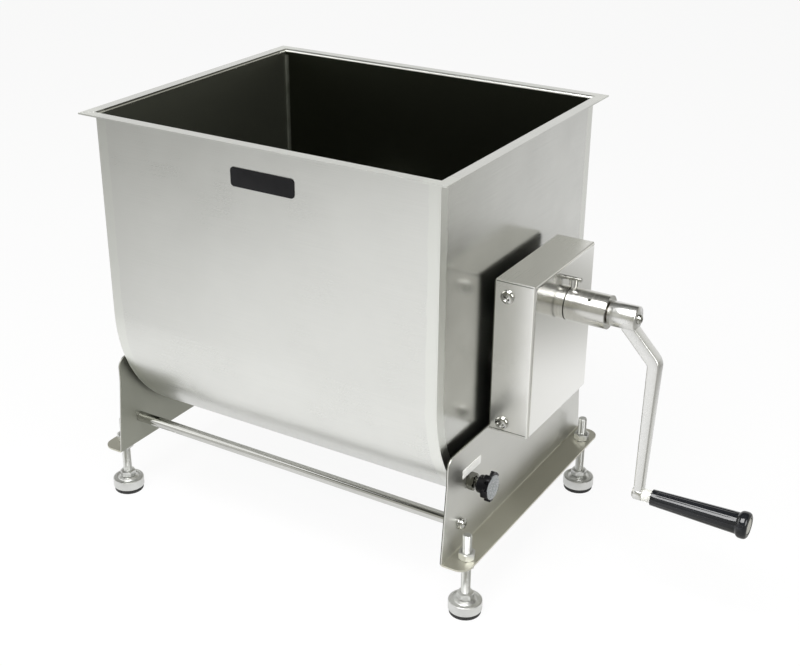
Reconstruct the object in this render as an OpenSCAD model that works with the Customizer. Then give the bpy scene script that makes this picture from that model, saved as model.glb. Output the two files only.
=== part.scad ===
// Hand-cranked meat mixer: tilting round-bottomed tank between two side plates,
// paddle shaft driven by a crank through a pair of spur gears in a sheet cover.
// Millimetres, +Z up. The bench is z = 0 and the origin is under the middle of the whole object.
// Inside the modules x is counted from the middle of the tank, with the crank on the +x side.

/* [Tank] */
// Outer length of the tank, along the paddle shaft
tank_l = 408; // [330:1:520]
// Outer width of the tank, which is also the width of its round bottom
tank_w = 334; // [290:1:385]
// Height of the paddle shaft above the bench
axis_z = 246; // [230:1:300]
// Height of the rim above the paddle shaft
wall_h = 226.5; // [190:0.5:300]
// Thickness of the tank's sheet
sheet_t = 1.5; // [1:0.1:2]
// Width of the turned-out rim, from the wall's outer face
rim_w = 12.5; // [8:0.5:20]
// Inside radius of the rim's bend
rim_bend_r = 1.5; // [0.5:0.1:3]

/* [Badge] */
// Length of the plain plate on the front wall
badge_l = 76; // [40:1:120]
// Height of the plain plate
badge_h = 20; // [12:1:40]
// Thickness of the plain plate
badge_t = 1; // [0.5:0.1:2]
// Corner radius of the plain plate
badge_r = 4; // [1:0.5:6]
// Distance of the plate's middle from the tank's middle
badge_x = 6; // [-60:1:60]
// Distance of the plate's middle below the rim
badge_drop = 38; // [28:1:80]

/* [Side plates] */
// Gap between the tank's end wall and a side plate
plate_gap = 8; // [7:0.5:12]
// Thickness of a side plate
plate_t = 2; // [1.5:0.1:5]
// Width of a side plate along its fold
plate_base_w = 336; // [300:1:400]
// Width of a side plate at its shoulders
plate_shoulder_w = 318; // [290:1:380]
// Height of the shoulders above the bench
plate_shoulder_z = 183; // [160:1:200]
// Length of the upright stretch of edge below a shoulder
plate_edge_h = 28; // [14:1:40]
// Radius of the shoulders
plate_corner_r = 12; // [4:1:14]
// Radius of the left plate's top, round the pivot
left_top_r = 52; // [40:1:70]
// Width of the left plate's upright where it leaves the shoulders
left_neck_w = 150; // [110:1:200]
// Width of the foot flange, from the plate's outer face
flange_w = 28; // [24:1:45]
// Height of the flange's underside above the bench
flange_z = 65; // [60:1:75]
// Radius of the flange's outer corners
flange_corner_r = 14; // [4:1:20]
// Inside radius of the flange's fold
plate_bend_r = 1.5; // [1:0.1:4]

/* [Tie rod] */
// Diameter of the tie rod
rod_d = 12; // [10:0.5:20]
// Distance of the tie rod from the side plates' front corners
rod_inset = 36; // [22:1:40]
// Height of the tie rod above the bench
rod_z = 97.5; // [90:0.5:110]

/* [Screws] */
// Diameter of the cover and tie rod screws
screw_d = 6; // [4:0.5:8]
// Diameter of their domed heads
screw_head_d = 12; // [9:0.5:16]
// Height of their domed heads
screw_head_h = 4.2; // [3:0.1:6]
// Length of thread below the head
screw_l = 16; // [12:1:25]
// Outer diameter of a washer
washer_d = 13; // [12:0.5:20]
// Thickness of a washer
washer_t = 1.4; // [0.8:0.1:2.5]

/* [Feet] */
// Distance of a foot's stud from the plate's outer face
foot_out = 15.5; // [13:0.5:30]
// Distance of a foot's stud from the flange's end
foot_inset = 25; // [18:1:40]
// Diameter of a foot's stud
stud_d = 10; // [8:1:12]
// Height of the stud's top above the bench
stud_top_z = 94.5; // [90:0.5:130]
// Width across the flats of the nuts and of the stud's hexagon
hex_af = 16; // [13:1:19]
// Height of a nut
nut_h = 8; // [5:0.5:10]
// Diameter of a foot's cup
cup_d = 36; // [28:1:60]
// Height of the cup's wall
cup_h = 10.8; // [8:0.1:16]
// Height of the raised cone on the cup
cup_cone_h = 1.6; // [1:0.1:3]
// Thickness of the rubber pad
pad_h = 5.2; // [4:0.1:8]
// Height of the stud's hexagon
stud_hex_h = 7; // [5:0.5:10]

/* [Gears] */
// Module of the gears
gear_module = 2; // [1.9:0.05:2.1]
// Teeth of the pinion on the crank shaft
pinion_teeth = 17; // [16:1:19]
// Teeth of the gear on the drive shaft
gear_teeth = 42; // [40:1:44]
// Width of the gears' teeth
gear_face = 16; // [10:1:20]
// Thinning of each tooth flank, which gives the backlash
tooth_thinning = 0.15; // [0.1:0.05:0.3]

/* [Gear cover] */
// Width of the cover, front to back
cover_w = 142; // [120:1:180]
// Height of the cover
cover_h = 168; // [166:1:200]
// Depth of the cover, out from the side plate
cover_d = 43.4; // [42:0.1:60]
// Height of the cover's lower edge above the bench
cover_z = 178.5; // [170:0.5:180]
// Thickness of the cover's sheet
cover_t = 1.5; // [1:0.1:2]
// Outside radius of the cover's bends
cover_r = 3; // [2.5:0.5:6]
// Thickness of the gear frame inside the cover
frame_t = 3; // [2:0.5:5]
// Distance of the cover's screws from the side plate
cover_screw_x = 13.5; // [9:0.5:20]
// Distance of the upper screws below the cover's top
cover_screw_top = 16.5; // [12:0.5:30]
// Distance of the lower screws above the cover's lower edge
cover_screw_low = 11; // [11:0.5:30]
// Diameter of the cover screws' heads
cover_head_d = 14.5; // [10:0.5:18]

/* [Shafts] */
// Diameter of the drive shaft
drive_d = 22; // [18:1:24]
// Diameter of the drive shaft's outer journal
drive_end_d = 16; // [12:1:17]
// Diameter of the paddle shaft
paddle_d = 32; // [30:1:40]
// Diameter of the paddle shaft's left journal
paddle_end_d = 18; // [14:1:20]
// Length of the drive shaft inside the paddle shaft
socket_l = 44; // [30:1:60]
// Diameter of the cross pin
pin_d = 8; // [5:0.5:10]
// Diameter of the crank shaft
crank_d = 16; // [12:1:18]
// Wall of the plain bushes
bush_wall = 3; // [2:0.5:4]
// Thickness of the plain bushes' flanges
bush_flange_t = 2.5; // [1.5:0.1:2.5]
// Height by which a flange stands proud of its bush
bush_flange_h = 4; // [2:0.5:8]
// Outer diameter of the tank's left hub
hub_left_d = 40; // [36:1:50]
// Outer diameter of the tank's right hub
hub_right_d = 52; // [44:1:56]
// Outer diameter of the hubs' flanges
hub_flange_d = 92; // [80:1:110]
// Thickness of the seal ring
seal_t = 5.5; // [3:0.5:8]
// Outer diameter of the seal ring
seal_d = 46; // [36:1:60]
// Width of the gear's key
key_w = 6; // [4:0.5:8]

/* [Paddles] */
// Number of paddles along the shaft
paddle_count = 4; // [2:2:6]
// Distance of the end paddles from the end walls
paddle_end_gap = 52; // [45:1:80]
// Width of a paddle's arm
arm_bar_w = 26; // [14:1:32]
// Thickness of a paddle's arm
arm_bar_t = 8; // [5:0.5:12]
// Width of a blade
blade_w = 78; // [40:1:84]
// Length of a blade along its arm
blade_h = 52; // [30:1:70]
// Thickness of a blade
blade_t = 5; // [3:0.5:8]
// Slant of a blade to the shaft
blade_slant = 35; // [0:1:60]
// Gap between the blades and the round bottom
blade_gap = 7; // [5:0.5:15]

/* [Crank] */
// Diameter of the bearing housing
housing_d = 35; // [32:1:45]
// Length of the bearing housing
housing_l = 49.5; // [44:0.5:80]
// Outer diameter of the spigot that carries the housing
spigot_d = 26; // [22:1:28]
// Length of spigot inside the housing
spigot_l = 20; // [14:1:30]
// Diameter of the oil hole
oil_hole_d = 4; // [2:0.5:6]
// Distance of the oil hole from the cover
oil_hole_x = 31; // [28:1:40]
// Distance of the thumb screw from the cover
thumb_x = 8.6; // [8.5:0.1:14]
// Length of the thumb screw's bar
thumb_bar_l = 16.4; // [8:0.1:16.4]
// Diameter of the thumb screw's bar
thumb_bar_d = 4.5; // [3:0.5:6]
// Diameter of the thumb screw's stem
thumb_stem_d = 6; // [4:0.5:8]
// Height of the bar above the housing
thumb_rise = 9.7; // [8:0.1:20]
// Diameter of the crank's hub
crank_hub_d = 26; // [24:1:32]
// Length of the crank's hub
crank_hub_l = 29.3; // [24:0.1:40]
// Distance from the crank shaft to the grip
crank_throw = 187; // [140:1:200]
// Distance of the arm's lower stretch from the hub's inner end, along the shaft
arm_offset = 52.2; // [40:0.1:60]
// Distance of the arm's root from the hub's inner end, along the shaft
arm_root = 21.2; // [14:0.1:24]
// Width of the arm at its bend, along the shaft
arm_w = 12.3; // [8:0.1:16]
// Thickness of the arm at its bend
arm_t = 15; // [8:0.5:18]
// Width of the arm at the grip, along the shaft
arm_end_w = 9.5; // [6:0.5:14]
// Thickness of the arm at the grip
arm_end_t = 11; // [6:0.5:13]
// Angle of the arm from straight down, towards the front
crank_angle = 4.6; // [0:0.1:45]
// Diameter of the grip's spindle
spindle_d = 8; // [6:0.5:9]
// Length of the pale collar between arm and grip
collar_l = 9.7; // [4:0.1:14]
// Diameter of the pale collar
collar_d = 13; // [11:0.5:16]
// Length of the grip without its mushroom end
grip_l = 91; // [70:1:140]
// Diameter of the grip at the arm
grip_d1 = 17; // [15:0.5:24]
// Diameter of the grip at the mushroom end
grip_d2 = 22.5; // [18:0.5:30]
// Diameter of the mushroom end
grip_end_d = 28; // [24:0.5:36]
// Length of the mushroom end
grip_end_l = 11; // [8:0.5:16]

/* [Tank lock] */
// Distance of the lock screw from the tank's front wall, front to back
lock_in = 54; // [45:1:75]
// Distance of the lock screw below the paddle shaft
lock_drop = 107.5; // [95:0.5:110]
// Diameter of the lock knob over its lobes
knob_d = 31; // [26:0.5:44]
// Number of lobes on the knob
knob_lobes = 5; // [3:1:7]
// Width of each lobe
knob_lobe_w = 7.5; // [5:0.5:10]
// Thickness of the knob's lobes
knob_h = 7; // [5:0.5:15]
// Angle of the first lobe above the horizontal, at the back
knob_turn = 45; // [0:1:90]
// Length of the knob's neck
knob_neck_l = 8.5; // [4:0.5:15]
// Diameter of the knob's neck
knob_neck_d = 19; // [16:0.5:22]
// Diameter of the round cap on the knob's end
knob_cap_d = 26; // [14:0.5:30]
// Travel of the lock screw
lock_travel = 6; // [3:0.5:8]
// Width of the plain label above the knob's nut
label_w = 38; // [15:1:40]
// Height of the plain label
label_h = 9.5; // [6:0.5:10]
// Height of the label's middle above the lock screw
label_rise = 13.5; // [13.5:0.5:18]

/* [Clearances] */
// Radial gap of a shaft in its bore
run_gap = 0.05; // [0.02:0.01:0.1]
// Gap between faces that move past each other
face_gap = 0.3; // [0.2:0.05:0.5]
// Gap of a screw or stud in its clearance hole
hole_gap = 0.3; // [0.2:0.05:0.5]

/* [Hidden] */
$fn = 96;
cut = 1;

// Tank
rim_z = axis_z + wall_h;
half_l = tank_l / 2;
half_w = tank_w / 2;
inner_l = half_l - sheet_t;
inner_w = half_w - sheet_t;
rim_out_r = rim_bend_r + sheet_t;
rim_reach = sheet_t + rim_w;
wall_top = wall_h - rim_out_r;

// Side plates and feet
plate_in = half_l + plate_gap;
plate_out = plate_in + plate_t;
fold_r = plate_bend_r + plate_t;
fold_z = flange_z + fold_r;
flange_top_z = flange_z + plate_t;
foot_x = plate_out + foot_out;
foot_y = plate_base_w / 2 - foot_inset;
rod_y = plate_base_w / 2 - rod_inset;
cup_top_z = pad_h + cup_h + cup_cone_h;
stud_floor_z = pad_h + 3;
stud_hex_z = cup_top_z + face_gap;
pad_inset = 1;

// Gears, cover and drive
crank_z = axis_z + gear_module * (pinion_teeth + gear_teeth) / 2;
cover_out = plate_out + cover_d;
cover_in = cover_out - cover_t;
frame_w = cover_w - 2 * cover_t;
frame_z = cover_z + cover_t + 1;
frame_h = cover_h - 2 * cover_t - 2;
web_in = cover_in - frame_t;
gear_x = plate_out + (web_in - plate_out - gear_face) / 2;
gear_hub_l = 5;
gear_hub_d = drive_d + 14;
key_h = key_w / 2;
pressure_angle = 20;
tip_h = gear_module;
root_h = 1.25 * gear_module;
flank_steps = 4;

// Hubs, bushes and shafts along the paddle axis
hub_flange_t = plate_gap - bush_flange_t - face_gap;
hub_end_x = plate_out + bush_flange_t;
shaft_bush_right_d = drive_d + 2 * bush_wall;
shaft_bush_left_d = paddle_end_d + 2 * bush_wall;
hub_cap_t = 2;
seal_x = inner_l - seal_t;
paddle_right_x = seal_x - 2 * face_gap;
bush_left_x = inner_l - bush_flange_t;
paddle_left_x = bush_left_x - 2 * face_gap;
socket_x = paddle_right_x - socket_l;
pin_x = paddle_right_x - socket_l / 2;
drive_shoulder_x = web_in - bush_flange_t - face_gap;
drive_end_x = cover_in - face_gap;

// Paddles
sweep_r = inner_w - blade_gap;
paddle_first_x = -(inner_l - paddle_end_gap);
paddle_step = 2 * (inner_l - paddle_end_gap) / (paddle_count - 1);
arm_bar_end = sweep_r - blade_h / 2;

// Crank and grip
housing_end_x = cover_out + housing_l;
crank_bush_d = crank_d + 2 * bush_wall;
crank_bush_outer_l = housing_l - spigot_l - 4;
spigot_flange_t = 2.5;
spigot_flange_d = spigot_d + 10;
groove_x = 5;
groove_w = 1.2;
groove_d = 1;
thumb_at_x = cover_out + thumb_x;
hub_x = housing_end_x + 1;
hub_out_x = hub_x + crank_hub_l;
shaft_out_x = hub_out_x - 5;
arm_x = hub_x + arm_offset;
arm_leave_x = hub_x + arm_root;
arm_leave_r = crank_hub_d / 2 - 3;
arm_bend_r = arm_leave_r + arm_x - arm_leave_x;
arm_boss_r = 7;
arm_taper_end = crank_throw - arm_boss_r;
arm_inner_x = arm_x - arm_end_w / 2;
arm_outer_x = arm_x + arm_end_w / 2;
crank_screw_d = 8;
crank_screw_head_d = 10;
crank_screw_l = 22;
crank_screw_head_h = 4;
grip_x = arm_outer_x + collar_l + face_gap;
grip_end_x = grip_x + grip_l + grip_end_l;
spindle_head_d = grip_d2 - 6;
spindle_head_t = 2.5;
grip_recess = spindle_head_t + face_gap;
grip_z = crank_z - crank_throw * cos(crank_angle);
grip_y = -crank_throw * sin(crank_angle);

// Lock
lock_y = half_w - lock_in;
lock_z = axis_z - lock_drop;
knob_gap = 3.5;
lock_nut_h = nut_h;
lock_tip_d = 7;
lock_tip_l = 5;
lock_stud_in = half_l + face_gap + lock_tip_l;
lock_pin_d = 4;
lock_pin_l = 4;
knob_x = plate_out + lock_nut_h + knob_gap;
knob_end_x = knob_x + knob_neck_l + knob_h;
knob_cap_t = 0.8;
label_t = 0.4;

// Whole object
reach_left = max(foot_x + cup_d / 2, plate_out + flange_w, half_l + rim_w);
reach_right = grip_end_x;
tank_x = (reach_left - reach_right) / 2;

// Colours
steel = [0.74, 0.74, 0.72];
bright = [0.82, 0.82, 0.81];
zinc = [0.78, 0.79, 0.80];
bronze = [0.72, 0.52, 0.27];
black = [0.06, 0.06, 0.07];
pale = [0.90, 0.90, 0.88];
gear_grey = [0.45, 0.46, 0.48];

// Puts a piece that is drawn from the tank's middle into the object's frame
module from_tank() {
  translate([tank_x, 0, 0])
    children();
}

// Same, for pieces that are drawn round the paddle shaft
module on_axis() {
  translate([tank_x, 0, axis_z])
    children();
}

// Same, for pieces that are drawn round the crank shaft
module on_crank() {
  translate([tank_x, 0, crank_z])
    children();
}

// Same, for pieces that are drawn with the crank's arm straight down
module on_arm() {
  on_crank()
    rotate([-crank_angle, 0, 0])
      children();
}

// Raises a flat outline, drawn in y and z, along x from x0 to x1
module raise_x(x0, x1) {
  translate([x0, 0, 0])
    rotate([90, 0, 90])
      linear_extrude(x1 - x0)
        children();
}

// Round bar along x
module bar_x(x0, x1, d) {
  translate([x0, 0, 0])
    rotate([0, 90, 0])
      cylinder(h = x1 - x0, d = d);
}

// Tube along x
module tube_x(x0, x1, d, bore) {
  difference() {
    bar_x(x0, x1, d);
    bar_x(x0 - cut, x1 + cut, bore);
  }
}

// Rectangle with round corners, about the origin
module rounded_plate(w, h, r) {
  square([w - 2 * r, h], center = true);
  square([w, h - 2 * r], center = true);
  for (sx = [-1, 1], sy = [-1, 1])
    translate([sx * (w / 2 - r), sy * (h / 2 - r)])
      circle(r = r);
}

// Rectangle that starts at x = 0 and has its two far corners rounded
module end_rounded(d, w, r) {
  translate([0, -w / 2])
    square([d - r, w]);
  translate([0, r - w / 2])
    square([d, w - 2 * r]);
  for (s = [-1, 1])
    translate([d - r, s * (w / 2 - r)])
      circle(r = r);
}

// Quarter ring of a sheet's bend, towards the quadrant (sx, sy)
module bend_ring(r, t, sx, sy) {
  intersection() {
    difference() {
      circle(r = r + t);
      circle(r = r);
    }
    translate([min(0, sx * (r + t)), min(0, sy * (r + t))])
      square(r + t);
  }
}

// Bar with a regular hexagonal outline, standing on z = 0
module hexagon(h, af) {
  cylinder(h = h, d = af / cos(30), $fn = 6);
}

// Domed head with a cross recess and its thread, standing on z = 0 and pointing down
module domed_screw(d, head_d, head_h, l) {
  recess = head_d * 0.56;
  recess_w = head_d * 0.13;
  recess_h = head_h * 0.55;
  dome_r = (head_d * head_d / 4 + head_h * head_h) / (2 * head_h);
  difference() {
    intersection() {
      cylinder(h = head_h, d = head_d);
      translate([0, 0, head_h - dome_r])
        sphere(r = dome_r);
    }
    for (a = [0, 90])
      rotate([0, 0, a])
        translate([-recess / 2, -recess_w / 2, head_h - recess_h])
          cube([recess, recess_w, recess_h + cut]);
  }
  translate([0, 0, -l])
    cylinder(h = l, d = d);
}

// Plain nut with chamfered corners on its upper face, standing on z = 0
module hex_nut(bore) {
  corner_d = hex_af / cos(30);
  difference() {
    intersection() {
      hexagon(nut_h, hex_af);
      cylinder(h = nut_h, d1 = corner_d + nut_h * 2, d2 = hex_af);
    }
    translate([0, 0, -cut])
      cylinder(h = nut_h + 2 * cut, d = bore);
  }
}

// Flanged plain bush along x, with its flange towards -x when side is -1
module flanged_bush(x0, x1, bore, side) {
  outer = bore + 2 * bush_wall;
  difference() {
    union() {
      bar_x(x0, x1, outer);
      if (side < 0)
        bar_x(x0 - bush_flange_t, x0, outer + 2 * bush_flange_h);
      else
        bar_x(x1, x1 + bush_flange_t, outer + 2 * bush_flange_h);
    }
    bar_x(x0 - bush_flange_t - cut, x1 + bush_flange_t + cut, bore);
  }
}

// Cross-section of the tank about the paddle axis, up to a height
module trough_outline(half, top) {
  circle(r = half);
  translate([-half, 0])
    square([2 * half, top]);
}

// Section of the rim: outward from the wall's inner face, down from the rim's top
module rim_profile() {
  translate([rim_out_r, -rim_out_r])
    bend_ring(rim_bend_r, sheet_t, -1, 1);
  translate([rim_out_r, -sheet_t])
    square([rim_reach - rim_out_r, sheet_t]);
}

// One side of the rim, along x, mitred at both ends
module rim_side(wall, run) {
  translate([0, wall, wall_h])
    intersection() {
      raise_x(-(run + rim_reach), run + rim_reach)
        rim_profile();
      translate([0, 0, -rim_out_r])
        linear_extrude(rim_out_r)
          polygon([[-run, 0], [run, 0], [run + rim_reach, rim_reach], [-run - rim_reach, rim_reach]]);
    }
}

// Wrapper sheet of the tank: front wall, round bottom and back wall
module tank_shell() {
  color(steel)
    on_axis() {
      raise_x(-inner_l, inner_l)
        difference() {
          trough_outline(half_w, wall_top);
          trough_outline(inner_w, wall_top + cut);
        }
      rim_side(inner_w, inner_l);
      mirror([0, 1, 0])
        rim_side(inner_w, inner_l);
    }
}

// End wall on the +x side, with the hole for a shaft bush
module tank_end(bush_hole) {
  raise_x(inner_l, half_l)
    difference() {
      trough_outline(half_w, wall_top);
      circle(d = bush_hole);
    }
  rotate([0, 0, -90])
    rim_side(inner_l, inner_w);
}

module tank_end_left() {
  color(steel)
    on_axis()
      mirror([1, 0, 0])
        tank_end(shaft_bush_left_d + 4 * run_gap);
}

module tank_end_right() {
  color(steel)
    on_axis()
      tank_end(shaft_bush_right_d + 2 * run_gap);
}

// Closed hub welded to the left end wall, which turns in the left side plate
module tank_hub_left() {
  color(bright)
    on_axis()
      mirror([1, 0, 0])
        difference() {
          union() {
            bar_x(half_l, half_l + hub_flange_t, hub_flange_d);
            bar_x(half_l, hub_end_x + hub_cap_t, hub_left_d);
          }
          bar_x(half_l - cut, hub_end_x, shaft_bush_left_d + 4 * run_gap);
        }
}

// Hollow hub welded to the right end wall, which turns in the right side plate
module tank_hub_right() {
  color(bright)
    on_axis()
      difference() {
        union() {
          bar_x(half_l, half_l + hub_flange_t, hub_flange_d);
          bar_x(half_l, hub_end_x, hub_right_d);
        }
        bar_x(half_l - cut, hub_end_x + cut, shaft_bush_right_d + 2 * run_gap);
      }
}

module shaft_bush_left() {
  color(bronze)
    on_axis()
      mirror([1, 0, 0])
        flanged_bush(inner_l, hub_end_x - face_gap, paddle_end_d + 2 * run_gap, -1);
}

module shaft_bush_right() {
  color(bronze)
    on_axis()
      tube_x(inner_l, hub_end_x, shaft_bush_right_d, drive_d + 2 * run_gap);
}

// Seal ring against the inner face of the right end wall
module shaft_seal() {
  color(pale)
    on_axis()
      tube_x(seal_x, inner_l, seal_d, drive_d + 2 * run_gap);
}

// Plain plate on the front wall
module badge_plate() {
  color(black)
    translate([tank_x + badge_x, -half_w, rim_z - badge_drop])
      rotate([90, 0, 0])
        linear_extrude(badge_t)
          rounded_plate(badge_l, badge_h, badge_r);
}

// Lower part of a side plate, in y and z, from the fold up to its shoulders
module plate_outline() {
  base = plate_base_w / 2;
  side = plate_shoulder_w / 2;
  edge_z = plate_shoulder_z - plate_edge_h;
  round_z = plate_shoulder_z - plate_corner_r;
  round_y = side - plate_corner_r;
  polygon([
    [-base, fold_z], [base, fold_z], [side, edge_z], [side, round_z], [round_y, plate_shoulder_z],
    [-round_y, plate_shoulder_z], [-side, round_z], [-side, edge_z]
  ]);
  for (s = [-1, 1])
    translate([s * round_y, round_z])
      circle(r = plate_corner_r);
}

// Hole that both side plates have for the tie rod's screw
module rod_hole() {
  translate([-rod_y, rod_z])
    circle(d = screw_d + 2 * hole_gap);
}

// Fold along the bottom of a plate and the flange that stands on the feet
module plate_flange() {
  out = plate_out + flange_w;
  inner = plate_out + plate_bend_r;
  base = plate_base_w / 2;
  translate([inner, base, fold_z])
    rotate([90, 0, 0])
      linear_extrude(plate_base_w)
        bend_ring(plate_bend_r, plate_t, -1, -1);
  translate([0, 0, flange_z])
    linear_extrude(plate_t)
      difference() {
        translate([inner, 0])
          end_rounded(out - inner, plate_base_w, flange_corner_r);
        for (s = [-1, 1])
          translate([foot_x, s * foot_y])
            circle(d = stud_d + 2 * hole_gap);
      }
}

// Left side plate, with a round top about the pivot
module side_plate_left() {
  color(steel)
    from_tank()
      mirror([1, 0, 0]) {
        raise_x(plate_in, plate_out)
          difference() {
            union() {
              plate_outline();
              polygon([
                [-left_neck_w / 2, plate_shoulder_z], [left_neck_w / 2, plate_shoulder_z],
                [left_top_r, axis_z], [-left_top_r, axis_z]
              ]);
              translate([0, axis_z])
                circle(r = left_top_r);
            }
            rod_hole();
            translate([0, axis_z])
              circle(d = hub_left_d + 2 * bush_wall + 4 * run_gap);
          }
        plate_flange();
      }
}

// Right side plate, with a tall upright behind the gear cover
module side_plate_right() {
  tower_h = frame_z + frame_h - plate_shoulder_z;
  color(steel)
    from_tank() {
      raise_x(plate_in, plate_out)
        difference() {
          union() {
            plate_outline();
            translate([-frame_w / 2, plate_shoulder_z - cut])
              square([frame_w, tower_h + cut]);
          }
          rod_hole();
          translate([0, axis_z])
            circle(d = hub_right_d + 2 * bush_wall + 4 * run_gap);
          translate([0, crank_z])
            circle(d = crank_bush_d + 4 * run_gap);
          translate([-lock_y, lock_z])
            circle(d = stud_d + 2 * hole_gap);
        }
      plate_flange();
    }
}

// Rod at the front that holds the side plates apart, drilled for a screw at each end
module tie_rod() {
  color(bright)
    from_tank()
      translate([0, -rod_y, rod_z])
        difference() {
          bar_x(-plate_in, plate_in, rod_d);
          for (e = [-1, 1])
            translate([e * plate_in, 0, 0])
              bar_x(-screw_l, screw_l, screw_d + 2 * run_gap);
        }
}

// Places a child that points along +z at each end of the tie rod
module at_rod_ends(x) {
  from_tank()
    for (e = [0, 1])
      mirror([e, 0, 0])
        translate([x, -rod_y, rod_z])
          rotate([0, 90, 0])
            children();
}

module tie_rod_washers() {
  color(bright)
    at_rod_ends(plate_out)
      for (i = [0, 1])
        translate([0, 0, i * (washer_t + run_gap)])
          difference() {
            cylinder(h = washer_t, d = washer_d - i * 2);
            translate([0, 0, -cut])
              cylinder(h = washer_t + 2 * cut, d = screw_d + 2 * hole_gap);
          }
}

module tie_rod_screws() {
  color(bright)
    at_rod_ends(plate_out + 2 * washer_t + run_gap)
      domed_screw(screw_d, screw_head_d, screw_head_h, screw_l);
}

module pivot_bush_left() {
  color(pale)
    on_axis()
      mirror([1, 0, 0])
        flanged_bush(plate_in, plate_out + bush_flange_t - face_gap, hub_left_d + 2 * run_gap, -1);
}

module pivot_bush_right() {
  color(pale)
    on_axis()
      flanged_bush(plate_in, plate_out + bush_flange_t - face_gap, hub_right_d + 2 * run_gap, -1);
}

// Places a child that points along +z at each cover screw, on the cover's sides
module at_cover_screws() {
  for (s = [0, 1], z = [cover_z + cover_screw_low, cover_z + cover_h - cover_screw_top])
    mirror([0, s, 0])
      translate([plate_out + cover_screw_x, cover_w / 2, z])
        rotate([-90, 0, 0])
          children();
}

// Folded channel inside the cover that carries the outer ends of both shafts
module gearbox_frame() {
  depth = cover_in - run_gap - plate_out;
  width = frame_w - 2 * run_gap;
  bend = cover_r - cover_t + frame_t;
  color(gear_grey)
    from_tank()
      difference() {
        translate([plate_out, 0, frame_z])
          linear_extrude(frame_h)
            difference() {
              end_rounded(depth, width, bend);
              translate([-cut, 0])
                end_rounded(web_in - plate_out + cut, width - 2 * frame_t, bend - frame_t);
            }
        translate([0, 0, axis_z])
          bar_x(web_in - cut, cover_out, drive_end_d + 2 * bush_wall + 4 * run_gap);
        translate([0, 0, crank_z])
          bar_x(web_in - cut, cover_out, spigot_d + 2 * run_gap);
        at_cover_screws()
          translate([0, 0, -screw_l])
            cylinder(h = screw_l, d = screw_d + 2 * run_gap);
      }
}

// Box with its outer edges rounded towards +x
module rounded_box(d, w, z0, h, r) {
  intersection() {
    translate([0, 0, z0])
      linear_extrude(h)
        end_rounded(d, w, r);
    translate([0, w / 2, z0 + h / 2])
      rotate([90, 0, 0])
        linear_extrude(w)
          end_rounded(d, h, r);
  }
}

// Folded sheet cover over the gears
module gearbox_cover() {
  color(steel)
    from_tank()
      difference() {
        translate([plate_out, 0, 0])
          difference() {
            rounded_box(cover_d, cover_w, cover_z, cover_h, cover_r);
            translate([-cut, 0, 0])
              rounded_box(cover_d - cover_t + cut, frame_w, cover_z + cover_t, cover_h - 2 * cover_t,
                cover_r - cover_t);
          }
        translate([0, 0, crank_z])
          bar_x(cover_in - cut, cover_out + cut, spigot_d + 2 * hole_gap);
        at_cover_screws()
          translate([0, 0, -cover_t - cut])
            cylinder(h = cover_t + 2 * cut, d = screw_d + 2 * hole_gap);
      }
}

module cover_screws() {
  color(bright)
    from_tank()
      at_cover_screws()
        domed_screw(screw_d, cover_head_d, screw_head_h, screw_l - 4);
}

// Flanged tube fixed in the gear frame, over which the bearing housing slips
module drive_spigot() {
  color(bright)
    on_crank()
      difference() {
        union() {
          bar_x(web_in, cover_out + spigot_l, spigot_d);
          bar_x(web_in - spigot_flange_t, web_in, spigot_flange_d);
        }
        bar_x(web_in - spigot_flange_t - cut, cover_out + spigot_l + cut, crank_d + 1);
      }
}

// Bearing housing on the cover's outer face, with its groove, oil hole and thumb screw hole
module crank_housing() {
  oil_angle = 50;
  color(bright)
    on_crank()
      difference() {
        bar_x(cover_out, housing_end_x, housing_d);
        bar_x(cover_out - cut, cover_out + spigot_l + face_gap, spigot_d + 2 * run_gap);
        bar_x(cover_out, housing_end_x + cut, crank_bush_d + 2 * run_gap);
        tube_x(cover_out + groove_x, cover_out + groove_x + groove_w, housing_d + cut, housing_d - 2 * groove_d);
        translate([cover_out + oil_hole_x, 0, 0])
          rotate([90 - oil_angle, 0, 0])
            cylinder(h = housing_d, d = oil_hole_d);
        translate([thumb_at_x, 0, 0])
          cylinder(h = housing_d, d = thumb_stem_d + 2 * run_gap);
      }
}

module crank_bush_inner() {
  color(bronze)
    on_crank()
      flanged_bush(plate_in, plate_out, crank_d + 2 * run_gap, 1);
}

module crank_bush_outer() {
  color(bronze)
    on_crank()
      difference() {
        tube_x(housing_end_x - crank_bush_outer_l, housing_end_x, crank_bush_d, crank_d + 2 * run_gap);
        translate([cover_out + oil_hole_x, 0, 0])
          rotate([40, 0, 0])
            cylinder(h = crank_bush_d, d = oil_hole_d);
      }
}

// Bush in the gear frame for the drive shaft's outer journal
module gear_bush() {
  color(bronze)
    on_axis()
      flanged_bush(web_in, cover_in, drive_end_d + 2 * run_gap, -1);
}

// Nut welded to the right side plate for the lock screw
module lock_nut() {
  color(zinc)
    translate([tank_x + plate_out, -lock_y, lock_z])
      rotate([0, 90, 0])
        rotate([0, 0, 30])
          hex_nut(stud_d + 2 * run_gap);
}

// Plain label above the lock nut
module lock_label() {
  shift = 4;
  color(pale)
    from_tank()
      raise_x(plate_out, plate_out + label_t)
        translate([shift - lock_y, lock_z + label_rise])
          square([label_w, label_h], center = true);
}

// Places a child at each of the four feet's studs
module at_feet(z) {
  from_tank()
    for (sx = [-1, 1], sy = [-1, 1])
      translate([sx * foot_x, sy * foot_y, z])
        children();
}

// Nuts welded under the flanges
module foot_weld_nuts() {
  color(zinc)
    at_feet(flange_z)
      mirror([0, 0, 1])
        hex_nut(stud_d + 2 * run_gap);
}

// Nuts on top of the flanges that lock the studs
module foot_lock_nuts() {
  color(zinc)
    at_feet(flange_top_z)
      hex_nut(stud_d + 2 * run_gap);
}

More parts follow.
